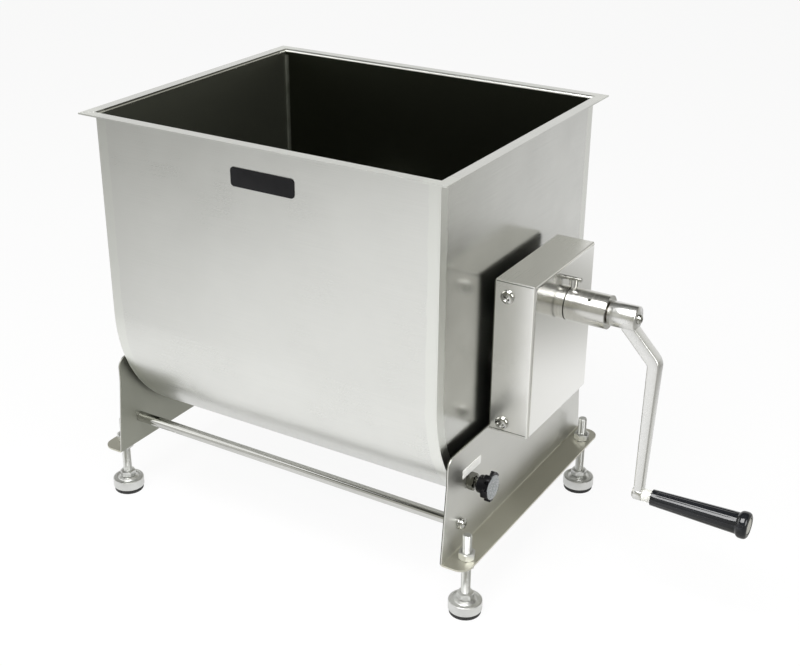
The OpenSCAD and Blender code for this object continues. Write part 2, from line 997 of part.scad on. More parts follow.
// Screw with a cross bar that clamps the housing on its spigot
module thumb_screw() {
  seat_r = spigot_d / 2 + face_gap;
  bar_r = housing_d / 2 + thumb_rise;
  color(bright)
    on_crank()
      translate([thumb_at_x, 0, 0]) {
        translate([0, 0, seat_r])
          cylinder(h = bar_r - seat_r, d = thumb_stem_d);
        translate([0, 0, housing_d / 2 + 2])
          cylinder(h = thumb_rise - 2, d = thumb_stem_d + 3);
        translate([0, 0, bar_r])
          bar_x(-thumb_bar_l / 2, thumb_bar_l / 2, thumb_bar_d);
      }
}

// Gear teeth: half the angle that a tooth takes up at radius r
function involute(r, base) =
  let (roll = sqrt(max(0, r * r / (base * base) - 1)))
  roll * 180 / PI - atan(roll);
function tooth_half_angle(teeth, r) =
  let (
    pitch = gear_module * teeth / 2,
    base = pitch * cos(pressure_angle),
    thin = tooth_thinning / pitch * 180 / PI
  )
  90 / teeth - thin + involute(pitch, base) - involute(max(r, base), base);
function polar(r, a) = [r * cos(a), r * sin(a)];

// Radii at which a flank has its points, from root to tip
function flank_radii(teeth) =
  let (
    pitch = gear_module * teeth / 2,
    base = max(pitch * cos(pressure_angle), pitch - root_h),
    tip = pitch + tip_h
  )
  concat([pitch - root_h], [for (i = [0:flank_steps]) base + (tip - base) * i / flank_steps]);

// Outline of a gear with a tooth at the given angle
module gear_outline(teeth, angle) {
  radii = flank_radii(teeth);
  last = len(radii) - 1;
  polygon([
    for (i = [0:teeth - 1])
      let (mid = angle + i * 360 / teeth)
      each concat(
        [for (k = [0:last]) polar(radii[k], mid - tooth_half_angle(teeth, radii[k]))],
        [for (k = [last:-1:0]) polar(radii[k], mid + tooth_half_angle(teeth, radii[k]))]
      )
  ]);
}

// Drive shaft from the gear into the paddle shaft, with a keyway and a cross hole
module drive_shaft() {
  color(bright)
    on_axis()
      difference() {
        union() {
          bar_x(socket_x + face_gap, drive_shoulder_x, drive_d);
          bar_x(drive_shoulder_x, drive_end_x, drive_end_d);
        }
        translate([gear_x, -key_w / 2 - run_gap, drive_d / 2 - key_h])
          cube([gear_face, key_w + 2 * run_gap, key_h + cut]);
        translate([pin_x, 0, -paddle_d])
          cylinder(h = 2 * paddle_d, d = pin_d + 2 * run_gap);
      }
}

module driven_gear() {
  color(gear_grey)
    on_axis()
      difference() {
        union() {
          raise_x(gear_x, gear_x + gear_face)
            gear_outline(gear_teeth, 90 + 180 / gear_teeth);
          bar_x(gear_x - gear_hub_l, gear_x, gear_hub_d);
        }
        bar_x(gear_x - gear_hub_l - cut, gear_x + gear_face + cut, drive_d + 2 * run_gap);
        translate([gear_x - gear_hub_l - cut, -key_w / 2 - run_gap, 0])
          cube([gear_hub_l + gear_face + 2 * cut, key_w + 2 * run_gap, drive_d / 2 + key_h + run_gap]);
      }
}

module gear_key() {
  color(zinc)
    on_axis()
      translate([gear_x + run_gap, -key_w / 2, drive_d / 2 - key_h])
        cube([gear_face - 2 * run_gap, key_w, 2 * key_h]);
}

// Paddle shaft with a socket for the drive shaft and a journal in the left hub
module paddle_shaft() {
  color(bright)
    on_axis()
      difference() {
        union() {
          bar_x(-paddle_left_x, paddle_right_x, paddle_d);
          bar_x(-(hub_end_x - 2 * face_gap), -paddle_left_x, paddle_end_d);
        }
        bar_x(socket_x, paddle_right_x + cut, drive_d + 2 * run_gap);
        translate([pin_x, 0, -paddle_d])
          cylinder(h = 2 * paddle_d, d = pin_d + 2 * run_gap);
      }
}

// Cross pin through both shafts
module paddle_pin() {
  head = 3;
  color(bright)
    on_axis()
      translate([pin_x, 0, -paddle_d / 2 - head]) {
        cylinder(h = paddle_d + 2 * head, d = pin_d);
        cylinder(h = head, d = pin_d + 6);
      }
}

// Places a child at each paddle, with +z out along its arm
module at_paddles() {
  on_axis()
    for (i = [0:paddle_count - 1])
      translate([paddle_first_x + i * paddle_step, 0, 0])
        rotate([i % 2 == 0 ? -90 : 90, 0, 0])
          rotate([0, 0, (i < paddle_count / 2 ? 1 : -1) * blade_slant])
            children();
}

// Flat arms, shaped to the shaft and welded to it
module paddle_arms() {
  color(steel)
    difference() {
      at_paddles()
        translate([-arm_bar_w / 2, -arm_bar_t / 2, 0])
          cube([arm_bar_w, arm_bar_t, arm_bar_end]);
      on_axis()
        bar_x(-inner_l, inner_l, paddle_d + 2 * run_gap);
    }
}

// Blades on the arms' faces, cut to the round of the bottom
module paddle_blades() {
  color(steel)
    intersection() {
      at_paddles()
        translate([-blade_w / 2, arm_bar_t / 2, sweep_r - blade_h])
          cube([blade_w, blade_t, blade_h + cut]);
      on_axis()
        bar_x(-inner_l, inner_l, 2 * sweep_r);
    }
}

// Crank shaft from the side plate to the crank's hub, drilled for the hub's screw
module crank_shaft() {
  color(bright)
    on_crank()
      difference() {
        bar_x(plate_in + face_gap, shaft_out_x, crank_d);
        bar_x(shaft_out_x - crank_screw_l, shaft_out_x + cut, crank_screw_d + 2 * run_gap);
      }
}

module pinion() {
  color(gear_grey)
    on_crank()
      raise_x(gear_x, gear_x + gear_face)
        difference() {
          gear_outline(pinion_teeth, 270);
          circle(d = crank_d + 2 * run_gap);
        }
}

// Outline of the arm seen from the front, in x and in distance below the shaft
module arm_outline() {
  w = arm_w / 2;
  bend_in = w * tan(22.5);
  slant = arm_w / sqrt(2);
  polygon([
    [arm_leave_x - slant, -arm_leave_r], [arm_leave_x + slant, -arm_leave_r],
    [arm_x + w, -arm_bend_r + bend_in], [arm_outer_x, -arm_taper_end],
    [arm_outer_x, -crank_throw], [arm_inner_x, -crank_throw],
    [arm_inner_x, -arm_taper_end], [arm_x - w, -arm_bend_r - bend_in]
  ]);
}

// Taper of the arm's thickness, in y and in distance below the shaft
module arm_taper() {
  polygon([
    [-arm_t / 2, 0], [arm_t / 2, 0], [arm_t / 2, -arm_bend_r],
    [arm_end_t / 2, -arm_taper_end], [arm_end_t / 2, -crank_throw],
    [-arm_end_t / 2, -crank_throw], [-arm_end_t / 2, -arm_taper_end], [-arm_t / 2, -arm_bend_r]
  ]);
}

// Hub, bent arm and spindle boss of the crank
module crank_arm() {
  color(bright)
    on_arm()
      difference() {
        union() {
          bar_x(hub_x, hub_out_x, crank_hub_d);
          intersection() {
            translate([0, arm_t, 0])
              rotate([90, 0, 0])
                linear_extrude(2 * arm_t)
                  arm_outline();
            raise_x(hub_x, arm_x + 2 * arm_w)
              arm_taper();
          }
          translate([0, 0, -crank_throw])
            bar_x(arm_inner_x, arm_outer_x, 2 * arm_boss_r);
        }
        bar_x(hub_x - cut, shaft_out_x + face_gap, crank_d + 2 * run_gap);
        bar_x(hub_x, hub_out_x + cut, crank_screw_d + 2 * hole_gap);
        translate([0, 0, -crank_throw])
          bar_x(arm_inner_x - cut, arm_outer_x + cut, spindle_d + 2 * run_gap);
      }
}

// Screw that holds the crank's hub on its shaft
module crank_screw() {
  color(bright)
    on_arm()
      translate([hub_out_x, 0, 0])
        rotate([0, 90, 0])
          domed_screw(crank_screw_d, crank_screw_head_d, crank_screw_head_h, crank_screw_l);
}

// Spindle through the grip, riveted in the arm and headed at the grip's end
module grip_spindle() {
  head_x = grip_end_x - spindle_head_t;
  rivet_t = 1.5;
  color(bright)
    on_arm()
      translate([0, 0, -crank_throw]) {
        bar_x(arm_inner_x - rivet_t, head_x, spindle_d);
        bar_x(arm_inner_x - rivet_t, arm_inner_x, spindle_d + 3);
        bar_x(head_x, head_x + spindle_head_t - face_gap, spindle_head_d);
      }
}

module grip_collar() {
  color(pale)
    on_arm()
      translate([0, 0, -crank_throw])
        tube_x(arm_outer_x, arm_outer_x + collar_l, collar_d, spindle_d + 2 * run_gap);
}

// Tapering grip with a mushroom end, free to turn on its spindle
module grip() {
  end_x = grip_x + grip_l;
  edge = 4;
  color(black)
    on_arm()
      translate([0, 0, -crank_throw])
        difference() {
          union() {
            translate([grip_x, 0, 0])
              rotate([0, 90, 0])
                cylinder(h = grip_l + cut, d1 = grip_d1, d2 = grip_d2);
            translate([end_x, 0, 0])
              rotate([0, 90, 0])
                rotate_extrude() {
                  square([grip_end_d / 2 - edge, grip_end_l]);
                  translate([0, edge])
                    square([grip_end_d / 2, grip_end_l - 2 * edge]);
                  for (h = [edge, grip_end_l - edge])
                    translate([grip_end_d / 2 - edge, h])
                      circle(r = edge);
                }
          }
          bar_x(grip_x - cut, grip_end_x + cut, spindle_d + 2 * run_gap);
          bar_x(grip_end_x - grip_recess, grip_end_x + cut, spindle_head_d + 2 * face_gap);
        }
}

// Puts a piece on the lock screw's axis
module on_lock() {
  translate([tank_x, -lock_y, lock_z])
    children();
}

// Tip that bears on the tank's end wall and stays still while the screw turns in it
module lock_tip() {
  color(pale)
    on_lock() {
      bar_x(half_l + face_gap, half_l + face_gap + lock_tip_l, lock_tip_d);
      bar_x(lock_stud_in, lock_stud_in + lock_pin_l, lock_pin_d);
    }
}

module lock_stud() {
  color(zinc)
    on_lock()
      difference() {
        bar_x(lock_stud_in + face_gap, knob_end_x - 4, stud_d);
        bar_x(lock_stud_in, lock_stud_in + lock_pin_l + face_gap, lock_pin_d + 2 * run_gap);
      }
}

// Lobed knob on the lock screw
module lock_knob() {
  head_x = knob_x + knob_neck_l;
  color(black)
    on_lock()
      difference() {
        union() {
          bar_x(knob_x, knob_end_x, knob_neck_d);
          for (i = [0:knob_lobes - 1])
            raise_x(head_x, knob_end_x)
              rotate([0, 0, knob_turn + i * 360 / knob_lobes])
                translate([0, -knob_lobe_w / 2])
                  square([knob_d / 2, knob_lobe_w]);
        }
        bar_x(knob_x - cut, knob_end_x - 4, stud_d + 2 * run_gap);
      }
}

module lock_knob_cap() {
  color(pale)
    on_lock()
      bar_x(knob_end_x, knob_end_x + knob_cap_t, knob_cap_d);
}

// Places one foot's pieces under its stud
module at_foot(sx, sy) {
  from_tank()
    translate([sx * foot_x, sy * foot_y, 0])
      children();
}

// Threaded stud with a hexagon above the cup
module foot_stud() {
  color(zinc) {
    translate([0, 0, stud_floor_z + face_gap])
      cylinder(h = stud_top_z - stud_floor_z - face_gap, d = stud_d);
    translate([0, 0, stud_hex_z])
      hexagon(stud_hex_h, hex_af);
  }
}

// Pressed metal cup in which the stud's end turns
module foot_cup() {
  wall_z = pad_h;
  color(zinc)
    difference() {
      union() {
        translate([0, 0, wall_z])
          cylinder(h = cup_h - 1, d = cup_d);
        translate([0, 0, wall_z + cup_h - 1])
          cylinder(h = 1, d1 = cup_d, d2 = cup_d - 2);
        translate([0, 0, wall_z + cup_h])
          cylinder(h = cup_cone_h, d1 = cup_d - 9, d2 = hex_af + 4);
      }
      translate([0, 0, stud_floor_z])
        cylinder(h = cup_top_z, d = stud_d + 2 * run_gap);
    }
}

// Rubber pad under the cup
module foot_pad() {
  color(black) {
    cylinder(h = 1, d1 = cup_d - 2 * pad_inset - 1.6, d2 = cup_d - 2 * pad_inset);
    translate([0, 0, 1])
      cylinder(h = pad_h - 1, d = cup_d - 2 * pad_inset);
  }
}

module foot_fl_stud() { at_foot(-1, -1) foot_stud(); }
module foot_fl_cup() { at_foot(-1, -1) foot_cup(); }
module foot_fl_pad() { at_foot(-1, -1) foot_pad(); }
module foot_fr_stud() { at_foot(1, -1) foot_stud(); }
module foot_fr_cup() { at_foot(1, -1) foot_cup(); }
module foot_fr_pad() { at_foot(1, -1) foot_pad(); }
module foot_bl_stud() { at_foot(-1, 1) foot_stud(); }
module foot_bl_cup() { at_foot(-1, 1) foot_cup(); }
module foot_bl_pad() { at_foot(-1, 1) foot_pad(); }
module foot_br_stud() { at_foot(1, 1) foot_stud(); }
module foot_br_cup() { at_foot(1, 1) foot_cup(); }
module foot_br_pad() { at_foot(1, 1) foot_pad(); }

tank_shell();
tank_end_left();
tank_end_right();
tank_hub_left();
tank_hub_right();
shaft_bush_left();
shaft_bush_right();
shaft_seal();
badge_plate();
side_plate_left();
side_plate_right();
tie_rod();
tie_rod_washers();
tie_rod_screws();
pivot_bush_left();
pivot_bush_right();
gearbox_frame();
gearbox_cover();
cover_screws();
drive_spigot();
crank_housing();
crank_bush_inner();
crank_bush_outer();
gear_bush();
lock_nut();
lock_label();
foot_weld_nuts();
foot_lock_nuts();
thumb_screw();
drive_shaft();
driven_gear();
gear_key();
paddle_shaft();
paddle_pin();
paddle_arms();
paddle_blades();
crank_shaft();
pinion();
crank_arm();
crank_screw();
grip_spindle();
grip_collar();
grip();
lock_tip();
lock_stud();
lock_knob();
lock_knob_cap();
foot_fl_stud();
foot_fl_cup();
foot_fl_pad();
foot_fr_stud();
foot_fr_cup();
foot_fr_pad();
foot_bl_stud();
foot_bl_cup();
foot_bl_pad();
foot_br_stud();
foot_br_cup();
foot_br_pad();
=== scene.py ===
import math
from functools import partial

import bmesh
import bpy
from mathutils import Matrix, Quaternion, Vector


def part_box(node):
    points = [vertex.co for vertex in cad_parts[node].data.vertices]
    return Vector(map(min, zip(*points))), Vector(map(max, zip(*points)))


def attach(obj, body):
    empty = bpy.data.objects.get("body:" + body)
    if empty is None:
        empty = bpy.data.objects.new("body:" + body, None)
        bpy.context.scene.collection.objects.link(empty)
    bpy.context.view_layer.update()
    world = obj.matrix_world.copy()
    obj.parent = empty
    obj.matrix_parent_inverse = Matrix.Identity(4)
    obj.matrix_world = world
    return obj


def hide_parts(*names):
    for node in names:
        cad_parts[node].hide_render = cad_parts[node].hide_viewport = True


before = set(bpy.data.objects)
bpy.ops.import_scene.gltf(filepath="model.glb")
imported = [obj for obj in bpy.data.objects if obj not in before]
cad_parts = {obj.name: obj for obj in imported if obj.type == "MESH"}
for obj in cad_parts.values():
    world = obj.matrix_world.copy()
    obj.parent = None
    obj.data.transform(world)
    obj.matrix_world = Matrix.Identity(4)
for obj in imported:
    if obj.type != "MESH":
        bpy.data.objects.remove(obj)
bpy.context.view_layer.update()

scene = bpy.context.scene


# Camera, floor and light
# The view is from the front right, 25 degrees above the floor. A pale floor runs out into a white room,
# bright low down and at the back left, dim and warm above and to the right, as bare steel shows in a studio.
def node_in(tree, kind, inputs=None, **settings):
    """A node with its own settings; each input is a plain value, or the socket that feeds it."""
    node = tree.nodes.new(kind)
    for key, value in settings.items():
        setattr(node, key, value)
    for key, value in (inputs or {}).items():
        if isinstance(value, bpy.types.NodeSocket):
            tree.links.new(value, node.inputs[key])
        else:
            node.inputs[key].default_value = value
    return node


def ramp_in(tree, value, stops):
    """A ramp over a value between 0 and 1; stops are (position, colour)."""
    ramp = node_in(tree, "ShaderNodeValToRGB", {"Fac": value})
    ramp.color_ramp.interpolation = "EASE"
    points = ramp.color_ramp.elements
    while len(points) < len(stops):
        points.new(0.5)
    for point, (position, colour) in zip(points, stops):
        point.position = position
        point.color = (*colour, 1)
    return ramp.outputs["Color"]


def sum_in(tree, operation, *values):
    """One step of arithmetic."""
    return node_in(tree, "ShaderNodeMath", dict(enumerate(values)), operation=operation).outputs[0]


def spread(tree, value, low, high, first=0.0, second=1.0, **settings):
    """A value between low and high, spread from first to second."""
    return node_in(tree, "ShaderNodeMapRange", {
        "Value": value, "From Min": low, "From Max": high, "To Min": first, "To Max": second,
    }, **settings).outputs["Result"]


def split(tree, vector):
    """A vector's X, Y and Z."""
    return node_in(tree, "ShaderNodeSeparateXYZ", {"Vector": vector}).outputs


scene.view_settings.view_transform = "Standard"
eye = Vector((0.622972, -1.129197, 0.843343))
aim = Vector((-0.052144, 0, 0.221011))
roll = Quaternion((0, 0, 1), math.radians(0.475))
camera = bpy.data.objects.new("camera", bpy.data.cameras.new("camera"))
camera.data.sensor_width = 36
camera.data.lens = 58.82
camera.location = eye
camera.rotation_mode = "QUATERNION"
camera.rotation_quaternion = (aim - eye).to_track_quat("-Z", "Y") @ roll
scene.collection.objects.link(camera)
scene.camera = camera

room = bpy.data.worlds.new("room")
room.use_nodes = True
tree = room.node_tree
tree.nodes.clear()
put = partial(node_in, tree)
way = put("ShaderNodeTexCoord").outputs["Generated"]
back_left = (-0.43, 0.25, 0)
side = put("ShaderNodeVectorMath", {0: way, 1: back_left}, operation="DOT_PRODUCT").outputs["Value"]
level = ramp_in(tree, split(tree, way)["Z"], [
    (0, (1, 1, 1)), (0.41, (0.97, 0.97, 0.95)), (0.52, (0.25, 0.245, 0.2)), (0.62, (0.06, 0.06, 0.05)),
    (0.75, (0.05, 0.05, 0.045)), (0.9, (0.2, 0.2, 0.19)),
])
shade = ramp_in(tree, sum_in(tree, "ADD", side, 0.5), [
    (0.1, (0.38, 0.375, 0.31)), (0.4, (0.5, 0.495, 0.44)), (0.58, (0.88, 0.88, 0.86)), (0.9, (1, 1, 1)),
])
level = put("ShaderNodeVectorMath", {0: level, 1: shade}, operation="MULTIPLY").outputs["Vector"]
walls = put("ShaderNodeBackground", {"Color": level}).outputs[0]
paper = put("ShaderNodeBackground", {"Color": (1, 1, 1, 1)}).outputs[0]
seen = put("ShaderNodeLightPath").outputs["Is Camera Ray"]
mixed = put("ShaderNodeMixShader", {0: seen, 1: walls, 2: paper}).outputs[0]
put("ShaderNodeOutputWorld", {"Surface": mixed})
scene.world = room

reach = 6
floor_mesh = bpy.data.meshes.new("floor")
corners = [(-reach, -reach, 0), (reach, -reach, 0), (reach, reach, 0), (-reach, reach, 0)]
floor_mesh.from_pydata(corners, [], [(0, 1, 2, 3)])
floor = bpy.data.objects.new("floor", floor_mesh)
scene.collection.objects.link(floor)
floor_paint = bpy.data.materials.new("floor_paint")
floor_paint.use_nodes = True
tree = floor_paint.node_tree
tree.nodes.clear()
put = partial(node_in, tree)
spot = put("ShaderNodeTexCoord").outputs["Object"]
part = split(tree, spot)
# For reflections the floor glows with painted light, brightest in a band in front of the machine, dim to the
# right.
back_slope, far_left, far_right, behind_left, behind = -0.49, -1.5, 1.0, -0.4, 0.2
back = sum_in(tree, "MAXIMUM", part["Y"], 0.0)
across = sum_in(tree, "MULTIPLY_ADD", back, back_slope, part["X"])
limit = spread(tree, part["Y"], 0.0, behind, far_left, behind_left)
level = ramp_in(tree, spread(tree, sum_in(tree, "MAXIMUM", across, limit), far_left, far_right), [
    (0, (0.3, 0.3, 0.28)), (0.228, (0.56, 0.56, 0.55)), (0.42, (1, 1, 1)), (0.63, (1, 1, 1)),
    (0.69, (0.78, 0.78, 0.76)), (0.712, (0.42, 0.415, 0.36)), (0.86, (0.12, 0.115, 0.09)),
])
# A painted shadow of the machine darkens that glow behind it to the right.
painted_shadow_spot = (0.55, 0.62, 0)
apart = put("ShaderNodeVectorMath", {0: spot, 1: painted_shadow_spot}, operation="DISTANCE").outputs["Value"]
painted_shadow = ramp_in(tree, apart, [(0.1, (0.26, 0.26, 0.23)), (0.34, (1, 1, 1))])
level = put("ShaderNodeVectorMath", {0: level, 1: painted_shadow}, operation="MULTIPLY").outputs["Vector"]
matt = put("ShaderNodeBsdfDiffuse", {"Color": (0.8, 0.8, 0.8, 1)}).outputs[0]
glow = put("ShaderNodeEmission", {"Color": level}).outputs[0]
white = put("ShaderNodeEmission", {"Color": (1, 1, 1, 1)}).outputs[0]
glow_share, white_share = 0.7, 0.92
lit = put("ShaderNodeMixShader", {0: glow_share, 1: matt, 2: glow}).outputs[0]
shown = put("ShaderNodeMixShader", {0: white_share, 1: matt, 2: white}).outputs[0]
path = put("ShaderNodeLightPath").outputs
mirror = put("ShaderNodeMixShader", {0: path["Is Glossy Ray"], 1: matt, 2: lit}).outputs[0]
mixed = put("ShaderNodeMixShader", {0: path["Is Camera Ray"], 1: mirror, 2: shown}).outputs[0]
put("ShaderNodeOutputMaterial", {"Surface": mixed})
floor_mesh.materials.append(floor_paint)

lamps_aim = Vector((0, 0, 0.25))
for name, place, width, power in (
    ("lamp_key", (0.1, -0.9, 1.9), 1.2, 48),
    ("lamp_fill", (-1.6, -0.9, 1.3), 1.4, 8),
    ("lamp_right", (1.9, -0.5, 1.1), 1.2, 22),
):
    lamp = bpy.data.lights.new(name, "AREA")
    lamp.shape = "SQUARE"
    lamp.size = width
    lamp.energy = power
    holder = bpy.data.objects.new(name, lamp)
    holder.location = place
    holder.rotation_euler = (lamps_aim - Vector(place)).to_track_quat("-Z", "Y").to_euler()
    scene.collection.objects.link(holder)


# Side plates
# Two plates of 2 mm stainless sheet carry the tank between them. Each is cut to shape and folded outwards
# into a flange at the foot; the cut edges are filed, and the faces keep a fine grain from the brushing belt.
def shade_group(name, inputs, outputs):
    """A shader node group with named sockets: the tree, what comes in and what goes out."""
    group = bpy.data.node_groups.new(name, "ShaderNodeTree")
    for label, kind, value in inputs:
        socket = group.interface.new_socket(label, in_out="INPUT", socket_type="NodeSocket" + kind)
        if value is not None:
            socket.default_value = value
    for label, kind in outputs:
        group.interface.new_socket(label, in_out="OUTPUT", socket_type="NodeSocket" + kind)
    return group, group.nodes.new("NodeGroupInput").outputs, group.nodes.new("NodeGroupOutput").inputs


def give(group, gives, values):
    """Joins what a group works out to its outputs."""
    for label, value in values.items():
        group.links.new(value, gives[label])


def mix_colour(tree, share, first, second):
    """The first colour where share is 0 and the second where it is 1."""
    return node_in(tree, "ShaderNodeMix", {0: share, 6: first, 7: second}, data_type="RGBA").outputs[2]


def mix_value(tree, share, first, second):
    """The first value where share is 0 and the second where it is 1."""
    return node_in(tree, "ShaderNodeMix", {0: share, 2: first, 3: second}).outputs[0]


def noise(tree, place, scale, detail, roughness=0.5):
    """Soft noise over a place, between 0 and 1."""
    return node_in(tree, "ShaderNodeTexNoise", {
        "Vector": place, "Scale": scale, "Detail": detail, "Roughness": roughness,
    }).outputs["Fac"]


# Brush lines along the grain, with slow clouds from handling: the tint, the roughness and the lines' height.
brushed_grain, given, gives = shade_group(
    "brushed_grain",
    [("Place", "Vector", None), ("Grain", "Vector", None), ("Pale", "Color", (0.6, 0.6, 0.6, 1)),
     ("Dull", "Color", (0.5, 0.5, 0.5, 1)), ("Smooth", "Float", 0.2), ("Coarse", "Float", 0.35)],
    [("Tint", "Color"), ("Roughness", "Float"), ("Lines", "Float")],
)
lines = noise(brushed_grain, given["Grain"], 1.0, 4.0, 0.65)
clouds = noise(brushed_grain, given["Place"], 11.0, 3.0, 0.55)
share = spread(brushed_grain, sum_in(brushed_grain, "ADD", lines, clouds), 0.75, 1.25)
give(brushed_grain, gives, {
    "Tint": mix_colour(brushed_grain, share, given["Dull"], given["Pale"]),
    "Roughness": spread(brushed_grain, share, 0.0, 1.0, given["Smooth"], given["Coarse"]), "Lines": lines,
})


def bare_material(name):
    """A material with an empty tree, and the place on the piece that its pattern is laid out by."""
    material = bpy.data.materials.new(name)
    material.use_nodes = True
    material.node_tree.nodes.clear()
    place = node_in(material.node_tree, "ShaderNodeTexCoord").outputs["Object"]
    return material, material.node_tree, place


def surface(tree, tint, rough, relief, depth, metallic=1.0, shine=0.5):
    """The shader of a material, joined to its output: depth is the strength of its fine relief."""
    relief_h = 0.0001
    bump = node_in(tree, "ShaderNodeBump", {"Strength": depth, "Distance": relief_h, "Height": relief})
    shader = node_in(tree, "ShaderNodeBsdfPrincipled", {
        "Base Color": tint, "Metallic": metallic, "Specular IOR Level": shine, "Roughness": rough,
        "Normal": bump.outputs[0],
    })
    node_in(tree, "ShaderNodeOutputMaterial", {"Surface": shader.outputs[0]})


def bare_steel(name, pale, dull, smooth, coarse, stretch):
    """A material with brushed steel in its tree: stretch is lines per metre in x, y and z."""
    material, tree, place = bare_material(name)
    grain = node_in(tree, "ShaderNodeMapping", {"Vector": place, "Scale": stretch}).outputs[0]
    steel = node_in(tree, "ShaderNodeGroup", {
        "Place": place, "Grain": grain, "Pale": (*pale, 1), "Dull": (*dull, 1), "Smooth": smooth,
        "Coarse": coarse,
    }, node_tree=brushed_grain)
    return material, tree, place, steel.outputs


def brushed_steel(
    name, pale, dull, smooth, coarse, stretch, depth, painted_shade_side=None, bright_side=None, painted_low_shade=None,
):
    """Bare steel with a grain, whose relief has this depth.

    painted_shade_side is (middle, reach, colour) for faces nearer than reach to the middle in x, painted that
    colour as shade and left rougher; bright_side is (x, share of roughness) for faces beyond x, polished
    further;
    painted_low_shade is (z, colour) for faces below z, painted that colour as shade.
    """
    material, tree, place, steel = bare_steel(name, pale, dull, smooth, coarse, stretch)
    tint, rough, shade_side_rough = steel["Tint"], steel["Roughness"], 0.55
    if painted_shade_side or bright_side or painted_low_shade:
        part = split(tree, place)
    if painted_low_shade:
        below = sum_in(tree, "LESS_THAN", part["Z"], painted_low_shade[0])
        tint = mix_colour(tree, below, tint, (*painted_low_shade[1], 1))
    if painted_shade_side:
        middle, reach, colour = painted_shade_side
        near = sum_in(tree, "COMPARE", part["X"], middle, reach)
        tint = mix_colour(tree, near, tint, (*colour, 1))
        rough = mix_value(tree, near, rough, shade_side_rough)
    if bright_side:
        beyond = sum_in(tree, "GREATER_THAN", part["X"], bright_side[0])
        rough = mix_value(tree, beyond, rough, sum_in(tree, "MULTIPLY", rough, bright_side[1]))
    surface(tree, tint, rough, steel["Lines"], depth)
    return material


def settle(piece):
    """Turns a piece's live modifiers into its plain mesh."""
    graph = bpy.context.evaluated_depsgraph_get()
    ready = piece.evaluated_get(graph)
    mesh = bpy.data.meshes.new_from_object(ready, preserve_all_data_layers=True, depsgraph=graph)
    raw = piece.data
    piece.modifiers.clear()
    piece.data = mesh
    bpy.data.meshes.remove(raw)
    mesh.name = piece.name


def new_piece(name, shape, finish):
    """A piece from a bmesh, in its finish."""
    mesh = bpy.data.meshes.new(name)
    shape.to_mesh(mesh)
    shape.free()
    if "custom_normal" in mesh.attributes:
        mesh.attributes.remove(mesh.attributes["custom_normal"])
    mesh.materials.clear()
    mesh.materials.append(finish)
    mesh.shade_smooth()
    piece = bpy.data.objects.new(name, mesh)
    scene.collection.objects.link(piece)
    return piece


def cut_by(piece, cutter):
    """A live cut of a piece by a cutter."""
    cut = piece.modifiers.new("cut", "BOOLEAN")
    cut.operation = "DIFFERENCE"
    cut.solver = "EXACT"
    cut.object = cutter


def eased_copy(node, name, width, finish, cutter=None):
    """A copy of a solid, cut where a cutter says, with its edges broken as filing leaves them."""
    same_place, same_plane, sharp = 2e-6, math.radians(0.5), math.radians(40)
    shape = bmesh.new()
    shape.from_mesh(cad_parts[node].data)
    bmesh.ops.remove_doubles(shape, verts=shape.verts, dist=same_place)
    bmesh.ops.dissolve_limit(shape, angle_limit=same_plane, verts=shape.verts, edges=shape.edges)
    piece = new_piece(name, shape, finish)
    if cutter:
        cut_by(piece, cutter)
    edge = piece.modifiers.new("eased edge", "BEVEL")
    edge.width = width
    edge.segments = 2
    edge.limit_method = "ANGLE"
    edge.angle_limit = sharp
    edge.use_clamp_overlap = True
    true = piece.modifiers.new("true faces", "WEIGHTED_NORMAL")
    true.keep_sharp = False
    settle(piece)
    if cutter:
        bpy.data.objects.remove(cutter)
    return piece


def fit(piece, body, finish_slot, *nodes):
    """Puts a piece on its body in place of the solids that it stands for."""
    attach(piece, body)
    if nodes:
        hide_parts(*nodes)


def eased_fit(node, name, width, finish, body, finish_slot, cutter=None):
    """Puts an eased copy of a solid in the solid's place."""
    fit(eased_copy(node, name, width, finish, cutter), body, finish_slot, node)


plate_t, fold_h, sheet_ease = 0.002, 0.0028, 0.0003
plates_low, plates_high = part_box("side_plate_left")[0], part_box("side_plate_right")[1]
plates_mid = (plates_low.x + plates_high.x) / 2
plate_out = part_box("tie_rod")[1].x + plate_t - plates_mid
# Faces towards the tank are painted dark as shade in the narrow gap, the right plate darker; the flange is
# painted darker and browner as shade.
for side, gap_shade in (("left", (0.34, 0.345, 0.3)), ("right", (0.14, 0.143, 0.12))):
    plate_satin = brushed_steel(
        f"plate_satin_{side}", (0.72, 0.72, 0.695), (0.64, 0.64, 0.615), 0.38, 0.46, (3000, 12, 3000), 0.02,
        painted_shade_side=(plates_mid, plate_out - plate_t / 2, gap_shade),
        painted_low_shade=(plates_low.z + fold_h, (0.57, 0.56, 0.485)))
    eased_fit(f"side_plate_{side}", f"folded_plate_{side}", sheet_ease, plate_satin, "frame", "plate_sheet")


# Pivot bushes
# White nylon bushes are pressed into the plates, and the tank's hubs turn in them without oil.
# The nylon is moulded, slightly cloudy, and greyed where the steel rubs it.
cloudy_plastic, given, gives = shade_group(
    "cloudy_plastic",
    [("Place", "Vector", None), ("Size", "Float", 300.0), ("Pale", "Color", (0.8, 0.8, 0.8, 1)),
     ("Dark", "Color", (0.6, 0.6, 0.6, 1)), ("Smooth", "Float", 0.2), ("Coarse", "Float", 0.4)],
    [("Tint", "Color"), ("Roughness", "Float"), ("Grain", "Float")],
)
specks = noise(cloudy_plastic, given["Place"], given["Size"], 5.0, 0.6)
clouds = noise(cloudy_plastic, given["Place"], 45.0, 2.0)
share = spread(cloudy_plastic, clouds, 0.3, 0.7)
give(cloudy_plastic, gives, {
    "Tint": mix_colour(cloudy_plastic, share, given["Dark"], given["Pale"]),
    "Roughness": spread(cloudy_plastic, specks, 0.3, 0.7, given["Smooth"], given["Coarse"]), "Grain": specks,
})


